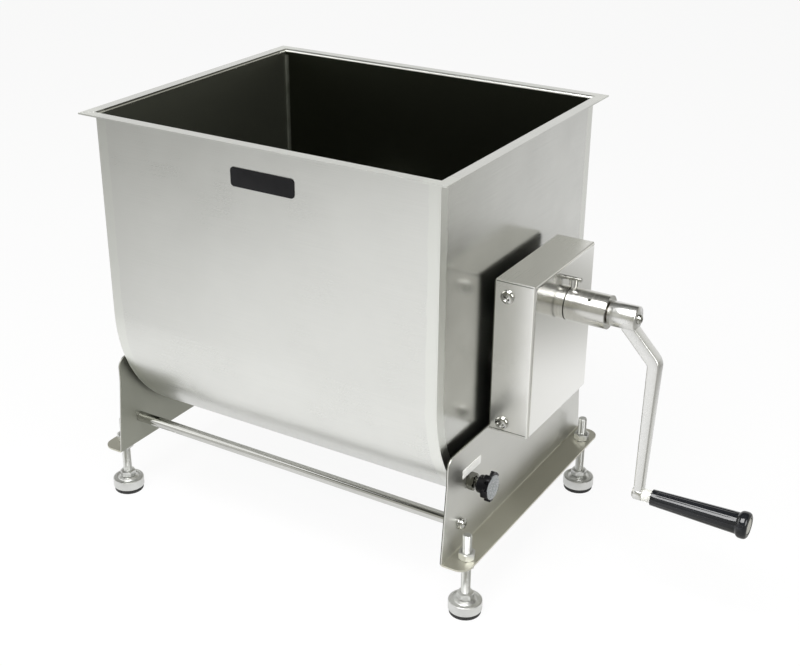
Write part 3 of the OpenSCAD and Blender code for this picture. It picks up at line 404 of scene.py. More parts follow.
def moulded(name, pale, dark, smooth, coarse, size, depth, metallic=0.0, shine=0.5):
    """A moulded, painted or sintered finish: size is grains per metre, depth the strength of their relief."""
    material, tree, place = bare_material(name)
    skin = node_in(tree, "ShaderNodeGroup", {
        "Place": place, "Size": size, "Pale": (*pale, 1), "Dark": (*dark, 1), "Smooth": smooth,
        "Coarse": coarse,
    }, node_tree=cloudy_plastic).outputs
    surface(tree, skin["Tint"], skin["Roughness"], skin["Grain"], depth, metallic, shine)
    return material


def dress(finish, *nodes):
    """Gives solids whose own shape is right their finish."""
    for node in nodes:
        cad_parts[node].data.materials.clear()
        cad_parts[node].data.materials.append(finish)


white_nylon = moulded("white_nylon", (0.8, 0.8, 0.77), (0.7, 0.7, 0.66), 0.3, 0.45, 900, 0.05)
dress(white_nylon, "pivot_bush_left", "pivot_bush_right")


# Tie rod
# A round bar of polished stainless steel ties the plates together low at the front. Its ends are tapped,
# and at each one a pan head screw with a cross recess pulls the plate on over a plain and a spring washer.
def skinned(name, rings, finish, place=Matrix(), loop=False, crease=35):
    """A piece skinned over rings of points: a ring of one point closes an end, loop joins last to first."""
    shape = bmesh.new()
    rows = [[shape.verts.new(place @ Vector(point)) for point in ring] for ring in rings]
    for first, second in zip(rows, rows[1:] + (rows[:1] if loop else [])):
        count = max(len(first), len(second))
        for i in range(count if count > 1 else 0):
            j = (i + 1) % count
            corners = []
            for row, k in ((first, i), (first, j), (second, j), (second, i)):
                vert = row[k % len(row)]
                if vert not in corners:
                    corners.append(vert)
            shape.faces.new(corners)
    bmesh.ops.recalc_face_normals(shape, faces=shape.faces)
    piece = new_piece(name, shape, finish)
    piece.data.set_sharp_from_angle(angle=math.radians(crease))
    return piece


def turned(outline, steps=48):
    """Rings of a shape turned about z: outline is (height, radius) from end to end."""
    circle = [(math.cos(math.tau * i / steps), math.sin(math.tau * i / steps)) for i in range(steps)]
    return [[(r * c, r * s, h) for c, s in circle] if r else [(0, 0, h)] for h, r in outline]


def capped(rings):
    """Rings with each end closed by a point in its middle."""
    first, last = (sum(map(Vector, ring), Vector()) / len(ring) for ring in (rings[0], rings[-1]))
    return [[first]] + rings + [[last]]


def joined(name, parts, finish, crease=35):
    """One piece from several that are fixed together."""
    shape = bmesh.new()
    for part in parts:
        shape.from_mesh(part.data)
        bpy.data.objects.remove(part)
    piece = new_piece(name, shape, finish)
    piece.data.set_sharp_from_angle(angle=math.radians(crease))
    return piece


def pan_screw(name, head_d, head_h, shank_d, shank_l, finish):
    """A pan head screw with a cross recess, its head on z = 0 and its shank below."""
    r = head_d / 2
    screw = skinned(name, turned([
        (-shank_l, 0), (-shank_l, shank_d * 0.42), (-shank_l * 0.95, shank_d / 2), (0, shank_d / 2),
        (0, r * 0.94), (head_h * 0.1, r), (head_h * 0.42, r), (head_h * 0.64, r * 0.95),
        (head_h * 0.83, r * 0.8), (head_h * 0.95, r * 0.53), (head_h, r * 0.25), (head_h, 0),
    ], 40), finish)
    for a in (0, 1):
        low, high = head_h * 0.4, head_h * 1.2
        rings = [[(0, 0, low)]]
        for z, long, wide in ((low, r * 0.3, r * 0.1), (high, r * 0.62, r * 0.17)):
            corners = [(long, -wide), (long, wide), (-long, wide), (-long, -wide)]
            rings.append([(y, x, z) if a else (x, y, z) for x, y in corners])
        cutter = skinned("recess", rings + [[(0, 0, high)]], finish)
        cut_by(screw, cutter)
        settle(screw)
        bpy.data.objects.remove(cutter)
    screw.data.shade_smooth()
    screw.data.set_sharp_from_angle(angle=math.radians(35))
    return screw


def shape_tree(name, numbers, *others):
    """A geometry node group and what comes in: others are (label, kind), then come numbers and the finish."""
    group = bpy.data.node_groups.new(name, "GeometryNodeTree")
    for label, kind in (*others, *((label, "Float") for label in numbers), ("Finish", "Material")):
        group.interface.new_socket(label, in_out="INPUT", socket_type="NodeSocket" + kind)
    group.interface.new_socket("Shape", in_out="OUTPUT", socket_type="NodeSocketGeometry")
    return group, group.nodes.new("NodeGroupInput").outputs


def end_tree(tree, shape, finish):
    """Ends a geometry tree: its instances made real, in their finish."""
    real = node_in(tree, "GeometryNodeRealizeInstances", {0: shape}).outputs[0]
    shown = node_in(tree, "GeometryNodeSetMaterial", {"Geometry": real, "Material": finish}).outputs[0]
    tree.links.new(shown, tree.nodes.new("NodeGroupOutput").inputs[0])


# Fasteners set on points, each facing along its point's own direction and turned further than the last.
in_place, given = shape_tree("fasteners_in_place", ["Turn"], ("Points", "Geometry"), ("Fastener", "Object"))
put = partial(node_in, in_place)
shape = put("GeometryNodeObjectInfo", {"Object": given["Fastener"]}).outputs["Geometry"]
facing = put("GeometryNodeInputNamedAttribute", {"Name": "facing"}, data_type="FLOAT_VECTOR").outputs[0]
turn = put("FunctionNodeAlignRotationToVector", {"Vector": facing}, axis="Z").outputs[0]
placed = put("GeometryNodeInstanceOnPoints", {
    "Points": given["Points"], "Instance": shape, "Rotation": turn,
}).outputs[0]
order = put("GeometryNodeInputIndex").outputs[0]
spin = put("ShaderNodeCombineXYZ", {"Z": sum_in(in_place, "MULTIPLY", order, given["Turn"])}).outputs[0]
placed = put("GeometryNodeRotateInstances", {"Instances": placed, "Rotation": spin}).outputs[0]
end_tree(in_place, placed, given["Finish"])


def feed(piece, tree, values):
    """Runs a piece through a geometry tree with these inputs and keeps the plain mesh."""
    step = piece.modifiers.new(tree.name, "NODES")
    step.node_group = tree
    for item in tree.interface.items_tree:
        if item.in_out == "INPUT" and item.name in values:
            step[item.identifier] = values[item.name]
    settle(piece)


def fasteners(name, fastener, places, finish, turn=0.0):
    """Copies of one fastener at places, each a point and the way its head faces."""
    points = bpy.data.meshes.new(name)
    points.from_pydata([point for point, _ in places], [], [])
    facing = points.attributes.new("facing", "FLOAT_VECTOR", "POINT")
    for entry, (_, way) in zip(facing.data, places):
        entry.vector = way
    piece = bpy.data.objects.new(name, points)
    scene.collection.objects.link(piece)
    feed(piece, in_place, {"Fastener": fastener, "Turn": turn, "Finish": finish})
    bpy.data.objects.remove(fastener)
    return piece


rod_polish = brushed_steel(
    "rod_polish", (0.58, 0.58, 0.56), (0.5, 0.5, 0.48), 0.05, 0.1, (10, 2600, 2600), 0.012)
eased_fit("tie_rod", "polished_rod", 0.0006, rod_polish, "frame", "polished_steel")

screw_polish = moulded(
    "screw_polish", (0.56, 0.56, 0.54), (0.46, 0.46, 0.44), 0.12, 0.2, 1500, 0.03, metallic=1.0)
low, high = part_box("tie_rod_screws")
rod_y, rod_z = (low.y + high.y) / 2, (low.z + high.z) / 2
head_h = 0.0042
screw = pan_screw(
    "rod_screw", head_d=0.012, head_h=head_h, shank_d=0.006, shank_l=0.016, finish=screw_polish)
screws = fasteners("rod_screws", screw, [
    ((low.x + head_h, rod_y, rod_z), (-1, 0, 0)), ((high.x - head_h, rod_y, rod_z), (1, 0, 0)),
], screw_polish, turn=0.9)
fit(screws, "frame", "polished_steel", "tie_rod_screws")

washer_bore, plain_r, plain_t, plain_ease = 0.0032, 0.0065, 0.0014, 0.0003
plain = skinned("plain", turned([
    (0, washer_bore), (0, plain_r - plain_ease), (plain_ease, plain_r), (plain_t - plain_ease, plain_r),
    (plain_t, plain_r - plain_ease), (plain_t, washer_bore),
]), screw_polish, loop=True)
spring_r, spring_t, spring_rise, spring_steps = 0.0055, 0.0011, 0.0002, 32
spring_gap, spring_cut = 0.00012, 7
spring_rings = []
for i in range(spring_steps + 1):
    a = math.radians(spring_cut + i * (360 - 2 * spring_cut) / spring_steps)
    rise = plain_t + spring_gap + spring_rise * i / spring_steps
    section = ((washer_bore, 0), (spring_r, 0), (spring_r, spring_t), (washer_bore, spring_t))
    spring_rings.append([(r * math.cos(a), r * math.sin(a), rise + h) for r, h in section])
spring = skinned("spring", capped(spring_rings), screw_polish)
stack = joined("washer_stack", [plain, spring], screw_polish)
rod_low, rod_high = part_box("tie_rod")
washers = fasteners("rod_washers", stack, [
    ((rod_low.x - plate_t, rod_y, rod_z), (-1, 0, 0)), ((rod_high.x + plate_t, rod_y, rod_z), (1, 0, 0)),
], screw_polish, turn=2.0)
fit(washers, "frame", "polished_steel", "tie_rod_washers")


# Feet
# Four levelling feet. A zinc plated stud with a rolled thread screws through a nut welded under the flange
# and is held by a lock nut on top. Its hexagon turns it in a pressed cup, which stands on black rubber.

# A rolled thread on a round bar: the groove winds round the bar once in each pitch, to a chamfered end.
rolled_thread, given = shape_tree("rolled_thread", ["Length", "Radius", "Pitch", "Depth", "Chamfer"])
put, calc = partial(node_in, rolled_thread), partial(sum_in, rolled_thread)
turns = calc("DIVIDE", given["Length"], given["Pitch"])
bar = put("GeometryNodeMeshCylinder", {
    "Vertices": 24, "Side Segments": calc("MULTIPLY", turns, 6.0), "Radius": given["Radius"],
    "Depth": given["Length"],
}).outputs["Mesh"]
part = split(rolled_thread, put("GeometryNodeInputPosition").outputs[0])
winding = calc("DIVIDE", calc("ARCTAN2", part["Y"], part["X"]), math.tau)
climb = calc("DIVIDE", part["Z"], given["Pitch"])
phase = calc("FRACT", calc("SUBTRACT", climb, winding))
ridge = calc("ABSOLUTE", calc("MULTIPLY_ADD", phase, 2.0, -1.0))
groove = calc("MULTIPLY", spread(rolled_thread, ridge, 0.85, 0.2), given["Depth"])
half = calc("MULTIPLY", given["Length"], 0.5)
past = calc("SUBTRACT", part["Z"], calc("SUBTRACT", half, given["Chamfer"]))
keep = calc("SUBTRACT", 1.0, calc("DIVIDE", calc("MAXIMUM", groove, past), given["Radius"]))
moved = put("ShaderNodeCombineXYZ", {
    "X": calc("MULTIPLY", part["X"], keep), "Y": calc("MULTIPLY", part["Y"], keep),
    "Z": calc("ADD", part["Z"], half),
}).outputs[0]
bar = put("GeometryNodeSetPosition", {"Geometry": bar, "Position": moved}).outputs[0]
end_tree(rolled_thread, bar, given["Finish"])


def grown(name, tree, values):
    """A piece that a geometry tree makes from these values alone."""
    piece = bpy.data.objects.new(name, bpy.data.meshes.new(name))
    scene.collection.objects.link(piece)
    feed(piece, tree, values)
    return piece


def threaded_bar(name, length, radius, pitch, finish, chamfer=0.001):
    """A bar with a rolled thread from z = 0 up."""
    return grown(name, rolled_thread, {
        "Length": length, "Radius": radius, "Pitch": pitch, "Depth": pitch * 0.5, "Chamfer": chamfer,
        "Finish": finish,
    })


def hexagon_rings(across, height, bore, z=0.0):
    """Rings of a hexagon with chamfered corners at both ends and a countersunk bore, from z up."""
    half, per_side, slope, sink_w, sink_h = across / 2, 6, 0.58, 0.0006, 0.0008
    face_r = half * 0.97
    angles = [math.tau * i / (6 * per_side) for i in range(6 * per_side)]

    def ring(radius, level):
        return [(radius * math.cos(a), radius * math.sin(a), z + level) for a in angles]

    def edge(level, sign):
        points = []
        for a in angles:
            off = (a + math.pi / 6) % (math.pi / 3) - math.pi / 6
            radius = half / math.cos(off)
            drop = max(0.0, radius - face_r) * slope
            points.append((radius * math.cos(a), radius * math.sin(a), z + level + sign * drop))
        return points

    return [
        ring(bore, sink_h), ring(bore + sink_w, 0), ring(face_r, 0), edge(0, 1), edge(height, -1),
        ring(face_r, height), ring(bore + sink_w, height), ring(bore, height - sink_h),
    ]


zinc_plate = moulded(
    "zinc_plate", (0.7, 0.705, 0.69), (0.6, 0.605, 0.59), 0.3, 0.42, 700, 0.06, metallic=1.0)
foot_rubber = moulded("foot_rubber", (0.022, 0.022, 0.022), (0.012, 0.012, 0.012), 0.55, 0.8, 1200, 0.2)
pitch, stud_r, hex_low, hex_high, hex_bore = 0.0015, 0.005, 0.0179, 0.0249, 0.0045
nut_across, nut_h, nut_bore = 0.016, 0.008, 0.00515
nut_places = {"foot_weld_nuts": [], "foot_lock_nuts": []}
for corner in ("fl", "fr", "bl", "br"):
    low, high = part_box(f"foot_{corner}_stud")
    x, y = (low.x + high.x) / 2, (low.y + high.y) / 2
    foot_at = Matrix.Translation((x, y, 0))
    rod_part = threaded_bar("thread", high.z - hex_high, stud_r, pitch, zinc_plate)
    rod_part.data.transform(Matrix.Translation((x, y, hex_high)))
    hex_rings = hexagon_rings(nut_across, hex_high - hex_low, hex_bore, hex_low)
    hex_part = skinned("hexagon", hex_rings, zinc_plate, foot_at, loop=True)
    end_part = skinned("journal", turned([
        (low.z, 0), (low.z, 0.0044), (low.z + 0.0006, stud_r), (hex_low + 0.001, stud_r),
        (hex_low + 0.001, 0.0046), (hex_high + 0.0002, 0.0046), (hex_high + 0.0002, 0),
    ], 32), zinc_plate, foot_at)
    stud = joined(f"threaded_stud_{corner}", [rod_part, hex_part, end_part], zinc_plate)
    fit(stud, f"foot_{corner}_stud", "zinc_plate", f"foot_{corner}_stud")

    low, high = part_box(f"foot_{corner}_cup")
    r, z, top, inside, bore, seat = (high.x - low.x) / 2, low.z, high.z, 0.0013, 0.00535, 0.0029
    cup = skinned(f"pressed_cup_{corner}", turned([
        (z, r - inside), (z, r - 0.0003), (z + 0.0004, r), (z + 0.0094, r), (z + 0.0103, r - 0.0003),
        (z + 0.0107, r - 0.0009), (z + 0.0108, r - 0.0018), (z + 0.0108, r - 0.003),
        (z + 0.0104, r - 0.0034), (z + 0.0104, 0.0122), (z + 0.0107, 0.0118), (z + 0.0111, 0.0112),
        (top - 0.0003, 0.0088), (top, 0.0082), (top, 0.0058), (top - 0.0005, bore), (z + seat, bore),
        (z + seat, 0), (z + 0.0016, 0), (z + 0.0016, r - inside),
    ], 64), zinc_plate, foot_at, loop=True)
    fit(cup, f"foot_{corner}_base", "zinc_plate", f"foot_{corner}_cup")

    low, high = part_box(f"foot_{corner}_pad")
    r, top, tread = (high.x - low.x) / 2, high.z, 0.0009
    pad = skinned(f"rubber_ring_{corner}", turned([
        (tread, 0), (tread, 0.006), (0, 0.0066), (0, 0.0088), (tread, 0.0092), (tread, 0.0108),
        (0, 0.0112), (0, r - 0.0012), (0.0003, r - 0.0005), (0.001, r - 0.0001), (0.0017, r),
        (top - 0.0005, r), (top, r - 0.0004), (top, 0),
    ], 64), foot_rubber, foot_at)
    fit(pad, f"foot_{corner}_base", "foot_rubber", f"foot_{corner}_pad")
    for node, places in nut_places.items():
        places.append(((x, y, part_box(node)[0].z), (0, 0, 1)))

for node, places in nut_places.items():
    nut = skinned("nut", hexagon_rings(nut_across, nut_h, nut_bore), zinc_plate, loop=True)
    nuts = fasteners(node.replace("foot", "stud"), nut, places, zinc_plate, turn=0.37)
    fit(nuts, "frame", "zinc_plate", node)


# Tank
# A trough of 1.5 mm stainless sheet: one sheet bent to a U, two ends welded in, and a rim folded outwards.
# The outside of each weld is ground flush, which leaves a band of finer polish; inside is a smooth fillet.
dressed_band, given, gives = shade_group(
    "dressed_band",
    [("Place", "Vector", None), ("Half Length", "Float", 0.2), ("Half Width", "Float", 0.16),
     ("Band", "Float", 0.012)],
    [("Along Sides", "Float"), ("Round Ends", "Float"), ("Inside", "Float")],
)
calc = partial(sum_in, dressed_band)
part = split(dressed_band, given["Place"])
shift = spread(dressed_band, noise(dressed_band, given["Place"], 60.0, 2.0), 0.0, 1.0, -0.002, 0.002)
below = calc("MINIMUM", part["Z"], 0.0)
squares = calc("ADD", calc("MULTIPLY", part["Y"], part["Y"]), calc("MULTIPLY", below, below))
from_side = calc("SUBTRACT", given["Half Width"], calc("POWER", squares, 0.5))
from_end = calc("SUBTRACT", given["Half Length"], calc("ABSOLUTE", part["X"]))
band_end = calc("MULTIPLY", given["Band"], 1.15)
half_sheet, wall_top = 0.00075, 0.2235
inside = calc("GREATER_THAN", calc("MINIMUM", from_side, from_end), half_sheet)
masks = {"Inside": calc("MULTIPLY", inside, calc("LESS_THAN", part["Z"], wall_top))}
for label, distance in (("Along Sides", from_end), ("Round Ends", from_side)):
    wandering = calc("ADD", distance, shift)
    masks[label] = spread(
        dressed_band, wandering, band_end, given["Band"], interpolation_type="SMOOTHSTEP")
give(dressed_band, gives, masks)

tank_low, tank_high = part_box("tank_shell")
tank_mid = (tank_low.x + tank_high.x) / 2
tank_half_l, tank_half_w, tank_axis = 0.204, 0.167, 0.246


def tank_steel(name, pale, dull, smooth, coarse, stretch, depth, band, inside, inside_rough):
    """Brushed sheet with ground bands beside the tank's welds; inside, painted dark as shade and rougher."""
    material, tree, place, steel = bare_steel(name, pale, dull, smooth, coarse, stretch)
    band_w, ground, ground_rough = 0.012, (0.74, 0.75, 0.715, 1), 0.3
    centred = node_in(tree, "ShaderNodeMapping", {
        "Vector": place, "Location": (-tank_mid, 0, -tank_axis),
    }).outputs[0]
    bands = node_in(tree, "ShaderNodeGroup", {
        "Place": centred, "Half Length": tank_half_l, "Half Width": tank_half_w, "Band": band_w,
    }, node_tree=dressed_band).outputs
    tint = mix_colour(tree, bands[band], steel["Tint"], ground)
    tint = mix_colour(tree, bands["Inside"], tint, (*inside, 1))
    rough = mix_value(tree, bands[band], steel["Roughness"], ground_rough)
    rough = mix_value(tree, bands["Inside"], rough, inside_rough)
    surface(tree, tint, rough, steel["Lines"], depth)
    return material


# Below the rim the inside of the trough is painted dark as shade, in the inside colours given here.
shell_steel = tank_steel(
    "shell_steel", (0.735, 0.74, 0.715), (0.68, 0.685, 0.66), 0.27, 0.36, (10, 3000, 3000), 0.02,
    "Along Sides", (0.055, 0.059, 0.043), 0.35)
# The end walls are painted darker than the shell all over, as shade on them.
end_steel = tank_steel(
    "end_steel", (0.66, 0.662, 0.64), (0.53, 0.532, 0.51), 0.16, 0.24, (3000, 10, 3000), 0.02,
    "Round Ends", (0.21, 0.217, 0.18), 0.42)
for node, name, finish in (
    ("tank_shell", "bent_shell", shell_steel), ("tank_end_left", "welded_end_left", end_steel),
    ("tank_end_right", "welded_end_right", end_steel),
):
    eased_fit(node, name, sheet_ease, finish, "tank", "tank_sheet")

# The fillet inside each end weld, painted dark as shade in the corner
seam_steel = moulded(
    "seam_steel", (0.16, 0.165, 0.14), (0.1, 0.105, 0.085), 0.4, 0.55, 600, 0.1, metallic=1.0)
wall_t, fillet, sunk, step, steps = 0.0015, 0.004, 0.0003, 0.0275, 8
round_steps, fillet_steps = 48, 5
inner_l, inner_w = tank_half_l - wall_t, tank_half_w - wall_t
course = [(-inner_w, tank_axis + step * (steps - i), 0.0) for i in range(steps)]
course += [(-inner_w * math.cos(a), tank_axis - inner_w * math.sin(a), a)
           for a in [math.pi * i / round_steps for i in range(round_steps + 1)]]
course += [(inner_w, tank_axis + step * i, math.pi) for i in range(1, steps + 1)]
seams = []
for side in (-1, 1):
    rings = []
    for y, z, a in course:
        inward = Vector((0, math.cos(a), math.sin(a)))
        corner = Vector((tank_mid + side * inner_l, y, z))
        ring = [corner - inward * sunk + Vector((side * sunk, 0, 0))]
        for k in range(fillet_steps + 1):
            bend = math.radians(-90 - 90 * k / fillet_steps)
            across = Vector((side * fillet * (1 + math.sin(bend)), 0, 0))
            ring.append(corner + inward * fillet * (1 + math.cos(bend)) - across)
        rings.append(ring)
    seams.append(skinned("seam", capped(rings), seam_steel))
fit(joined("tank_seams", seams, seam_steel), "tank", "tank_sheet")

hub_polish = brushed_steel(
    "hub_polish", (0.66, 0.66, 0.64), (0.58, 0.58, 0.565), 0.16, 0.26, (2600, 12, 12), 0.05)
bronze = moulded("bronze", (0.36, 0.25, 0.13), (0.26, 0.17, 0.08), 0.28, 0.5, 2200, 0.12, metallic=1.0)
for side in ("left", "right"):
    eased_fit(f"tank_hub_{side}", f"turned_hub_{side}", 0.0005, hub_polish, "tank", "polished_steel")
dress(bronze, "shaft_bush_left", "shaft_bush_right")
dress(white_nylon, "shaft_seal")

# A plain black plate is glued to the front wall, its edges rounded and its face lightly grained.
black_plate = moulded(
    "black_plate", (0.009, 0.009, 0.01), (0.005, 0.005, 0.006), 0.35, 0.5, 1600, 0.08, shine=0.18)
eased_fit("badge_plate", "blank_plate", 0.0004, black_plate, "tank", "black_plate")


# Paddles
# A stainless shaft carries four flat arms, set in turn to the front and the back, each with a slanting blade
# that sweeps the round bottom. Arms and blades are cut plate, welded to the shaft with a bead all round.
paddle_steel = brushed_steel(
    "paddle_steel", (0.62, 0.62, 0.6), (0.52, 0.52, 0.5), 0.26, 0.4, (900, 900, 40), 0.06)
weld_bead = moulded("weld_bead", (0.5, 0.49, 0.47), (0.36, 0.35, 0.34), 0.3, 0.5, 500, 0.3, metallic=1.0)
for node, name, width in (
    ("paddle_shaft", "turned_paddle_shaft", 0.0008), ("paddle_arms", "cut_arms", 0.0007),
    ("paddle_blades", "cut_blades", 0.0009), ("paddle_pin", "cross_pin", 0.0008),
):
    finish = hub_polish if node == "paddle_shaft" else paddle_steel
    eased_fit(node, name, width, finish, "paddle", "polished_steel")
beads = []
arms, shaft_r, bar_w, bar_t, arm_slant, first_x = 4, 0.016, 0.026, 0.008, math.radians(35), -0.1505
step_x = -2 * first_x / (arms - 1)
bead_steps, bead_r, ripple, ripples = 64, 0.0021, 0.0003, 19
for i in range(arms):
    up = 1 if i % 2 == 0 else -1
    slant = arm_slant if i < arms / 2 else -arm_slant
    rings = []
    for k in range(bead_steps):
        run = k / bead_steps * 2 * (bar_w + bar_t)
        if run < bar_w:
            u, v = run - bar_w / 2, -bar_t / 2
        elif run < bar_w + bar_t:
            u, v = bar_w / 2, run - bar_w - bar_t / 2
        elif run < 2 * bar_w + bar_t:
            u, v = bar_w * 1.5 + bar_t - run, bar_t / 2
        else:
            u, v = -bar_w / 2, bar_t * 1.5 + 2 * bar_w - run
        along = u * math.cos(slant) - v * math.sin(slant)
        side = u * math.sin(slant) + v * math.cos(slant)
        out = math.sqrt(shaft_r ** 2 - min(abs(side), shaft_r * 0.98) ** 2)
        radius = bead_r + ripple * math.sin(k * math.tau / bead_steps * ripples)
        away = Vector((along, side, 0)).normalized()
        middle = Vector((along, side, out))
        ring = []
        for b in range(8):
            a = math.tau * b / 8
            point = middle + away * radius * math.cos(a) + Vector((0, 0, radius * math.sin(a)))
            ring.append((tank_mid + first_x + i * step_x + point.x, up * point.z, tank_axis - up * point.y))
        rings.append(ring)
    beads.append(skinned("bead", rings, weld_bead, loop=True, crease=180))
fit(joined("weld_beads", beads, weld_bead, crease=180), "paddle", "polished_steel")


# Gearbox
# A folded steel channel bolted to the right plate carries the outer ends of both shafts. The crank's pinion
# drives the large wheel on the paddle shaft; both are cut from bar, greased, and run in bronze bushes.
gear_steel = brushed_steel(
    "gear_steel", (0.42, 0.42, 0.42), (0.3, 0.3, 0.29), 0.22, 0.38, (60, 900, 900), 0.06)
dress(gear_steel, "gearbox_frame", "driven_gear", "pinion", "gear_key")
dress(bronze, "crank_bush_inner", "crank_bush_outer", "gear_bush")
dress(hub_polish, "drive_shaft", "crank_shaft", "drive_spigot")


# Gearbox cover
# A box folded from 1.5 mm stainless sheet, open towards the plate. Its outer corners are bent round, its top
# and bottom flaps stop just short of the side walls, and four pan head screws hold it to the channel.
low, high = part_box("gearbox_cover")
cover_steel = brushed_steel(
    "cover_steel", (0.88, 0.878, 0.855), (0.86, 0.858, 0.835), 0.27, 0.32, (4500, 10, 4500), 0.015,
    bright_side=(high.x - 0.0008, 0.65))
# Dark strips at the bottom of the slots, behind the flaps' edges, are painted shade in the gaps.
sheet, slot_w, slot_d, slot_end = 0.0015, 0.0009, 0.001, high.x - 0.003
flap_start, flap_sunk = low.x + 0.0005, 0.0003
slots, gap_shade_strips = [], []
for y, way in ((low.y, 1), (high.y, -1)):
    for z in (low.z + sheet + slot_w / 2, high.z - sheet - slot_w / 2):
        for bars, start, first in ((slots, low.x - slot_d, -slot_d), (gap_shade_strips, flap_start, flap_sunk)):
            a, b = sorted((y + way * first, y + way * slot_d))
            under, over = z - slot_w / 2, z + slot_w / 2
            corners = [(a, under), (b, under), (b, over), (a, over)]
            rings = [[(x, *corner) for corner in corners] for x in (start, slot_end)]
            bars.append(skinned("slot", capped(rings), seam_steel))
slots = joined("flap_slots", slots, cover_steel)
eased_fit("gearbox_cover", "folded_cover", sheet_ease, cover_steel, "frame", "plate_sheet", slots)
fit(joined("flap_edges", gap_shade_strips, seam_steel), "frame", "plate_sheet")

screw_low, screw_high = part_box("cover_screws")
at_x = (screw_low.x + screw_high.x) / 2
cover_head_d = 0.0145
screw = pan_screw(
    "cover_screw", head_d=cover_head_d, head_h=head_h, shank_d=0.006, shank_l=0.009, finish=screw_polish)
screw_levels = (screw_low.z + cover_head_d / 2, screw_high.z - cover_head_d / 2)
screws = fasteners("cover_pan_screws", screw, [
    ((at_x, face, z), (0, way, 0)) for face, way in ((low.y, -1), (high.y, 1)) for z in screw_levels
], screw_polish, turn=1.1)
fit(screws, "frame", "polished_steel", "cover_screws")


# Crank housing
# A turned and polished sleeve over the spigot carries the crank's outer bearing, with an oiler in front and
# a groove by the cover. A small screw with a cross bar clamps it, so that it comes off with the crank.
low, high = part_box("crank_housing")
polish = ((0.69, 0.685, 0.66), (0.6, 0.595, 0.57), 0.21, 0.3, (3000, 10, 10), 0.05)
housing_polish = brushed_steel("housing_polish", *polish)
# The groove is painted dark, as shade in it.
groove_x, groove_w, groove_shade = low.x + 0.0056, 0.0007, (0.1, 0.1, 0.085)
sleeve_polish = brushed_steel("sleeve_polish", *polish, painted_shade_side=(groove_x, groove_w, groove_shade))
eased_fit("crank_housing", "turned_housing", 0.0002, sleeve_polish, "frame", "polished_steel")
oiler_x, oiler_angle = low.x + 0.031, math.radians(50)
oiler_way = Vector((0, -math.cos(oiler_angle), math.sin(oiler_angle)))
oiler_at = Vector((oiler_x, 0, (low.z + high.z) / 2)) + oiler_way * ((high.z - low.z) / 2)
oiler_turn = oiler_way.to_track_quat("Z", "Y").to_matrix().to_4x4()
# The oiler is painted dark, as shade in its hole.
oiler = skinned("ball_oiler", turned([
    (-0.004, 0), (-0.004, 0.0019), (-0.0012, 0.0019), (-0.0005, 0.0015), (-0.0005, 0.0011), (-0.0012, 0.001),
    (-0.001, 0.0008), (-0.0007, 0.0005), (-0.0006, 0),
], 32), seam_steel, Matrix.Translation(oiler_at) @ oiler_turn)
fit(oiler, "frame", "polished_steel")
eased_fit("thumb_screw", "cross_bar_screw", 0.0009, screw_polish, "thumb_screw", "polished_steel")


# Crank
# A forged and plated arm leaves its hub at a slant, bends straight and narrows to a boss. One screw holds the
# hub on the shaft, and a spindle riveted through the boss carries a white collar and the grip.
arm_plate = brushed_steel(
    "arm_plate", (0.79, 0.79, 0.78), (0.72, 0.72, 0.71), 0.22, 0.32, (2500, 2500, 40), 0.01)
crank_z, lean = 0.305, math.radians(4.6)
down = Vector((0, -math.sin(lean), -math.cos(lean)))
thick = Vector((0, math.cos(lean), -math.sin(lean)))
lay_x = Matrix.Rotation(math.pi / 2, 4, "Y")


def rounded_section(width, depth, radius):
    """Points round a bar's section with rounded corners."""
    points = []
    for k, (sx, sy) in enumerate(((1, 1), (-1, 1), (-1, -1), (1, -1))):
        for step in range(5):
            a = math.radians(90 * k + 22.5 * step)
            x, y = sx * (width / 2 - radius), sy * (depth / 2 - radius)
            points.append((x + radius * math.cos(a), y + radius * math.sin(a)))
    return points


leave, turn_at, foot_r, bend_r, slant, sunk = (0.3291, 0.010), (0.3601, 0.041), 0.187, 0.010, 45, 0.002
boss_r, boss_l, corner_r, hub_x = 0.007, 0.0095, 0.0014, 0.3079
wide_end, narrow_end, bend_steps, straight_steps = (0.0123, 0.015), (0.0095, 0.011), 8, 6
line = [(leave[0] - sunk, leave[1] - sunk, slant), (*leave, slant)]
centre_x = turn_at[0] - bend_r
centre_r = turn_at[1] + bend_r * math.tan(math.radians(slant / 2))
for k in range(bend_steps + 1):
    a = math.radians(slant - slant * k / bend_steps)
    line.append((centre_x + bend_r * math.cos(a), centre_r - bend_r * math.sin(a), math.degrees(a)))
narrow_r = foot_r - boss_r
for k in range(1, straight_steps + 1):
    line.append((turn_at[0], centre_r + (narrow_r - centre_r) * k / straight_steps, 0.0))
line.append((turn_at[0], foot_r + sunk, 0.0))
rings = []
for x, r, slope in line:
    share = min(1.0, max(0.0, (r - turn_at[1]) / (narrow_r - turn_at[1])))
    width, depth = (wide + (narrow - wide) * share for wide, narrow in zip(wide_end, narrow_end))
    a = math.radians(slope)
    normal = Vector((math.cos(a), 0, 0)) - down * math.sin(a)
    middle = Vector((tank_mid + x, 0, crank_z)) + down * r
    rings.append([middle + normal * u + thick * v for u, v in rounded_section(width, depth, corner_r)])
arm = skinned("arm", capped(rings), arm_plate)
boss_at = Vector((tank_mid + turn_at[0] - boss_l / 2, 0, crank_z)) + down * foot_r
boss = skinned("boss", turned([
    (0, 0), (0, 0.0062), (0.0002, 0.0067), (0.0008, boss_r), (0.0087, boss_r), (0.0093, 0.0067),
    (boss_l, 0.0062), (boss_l, 0),
]), arm_plate, Matrix.Translation(boss_at) @ lay_x)
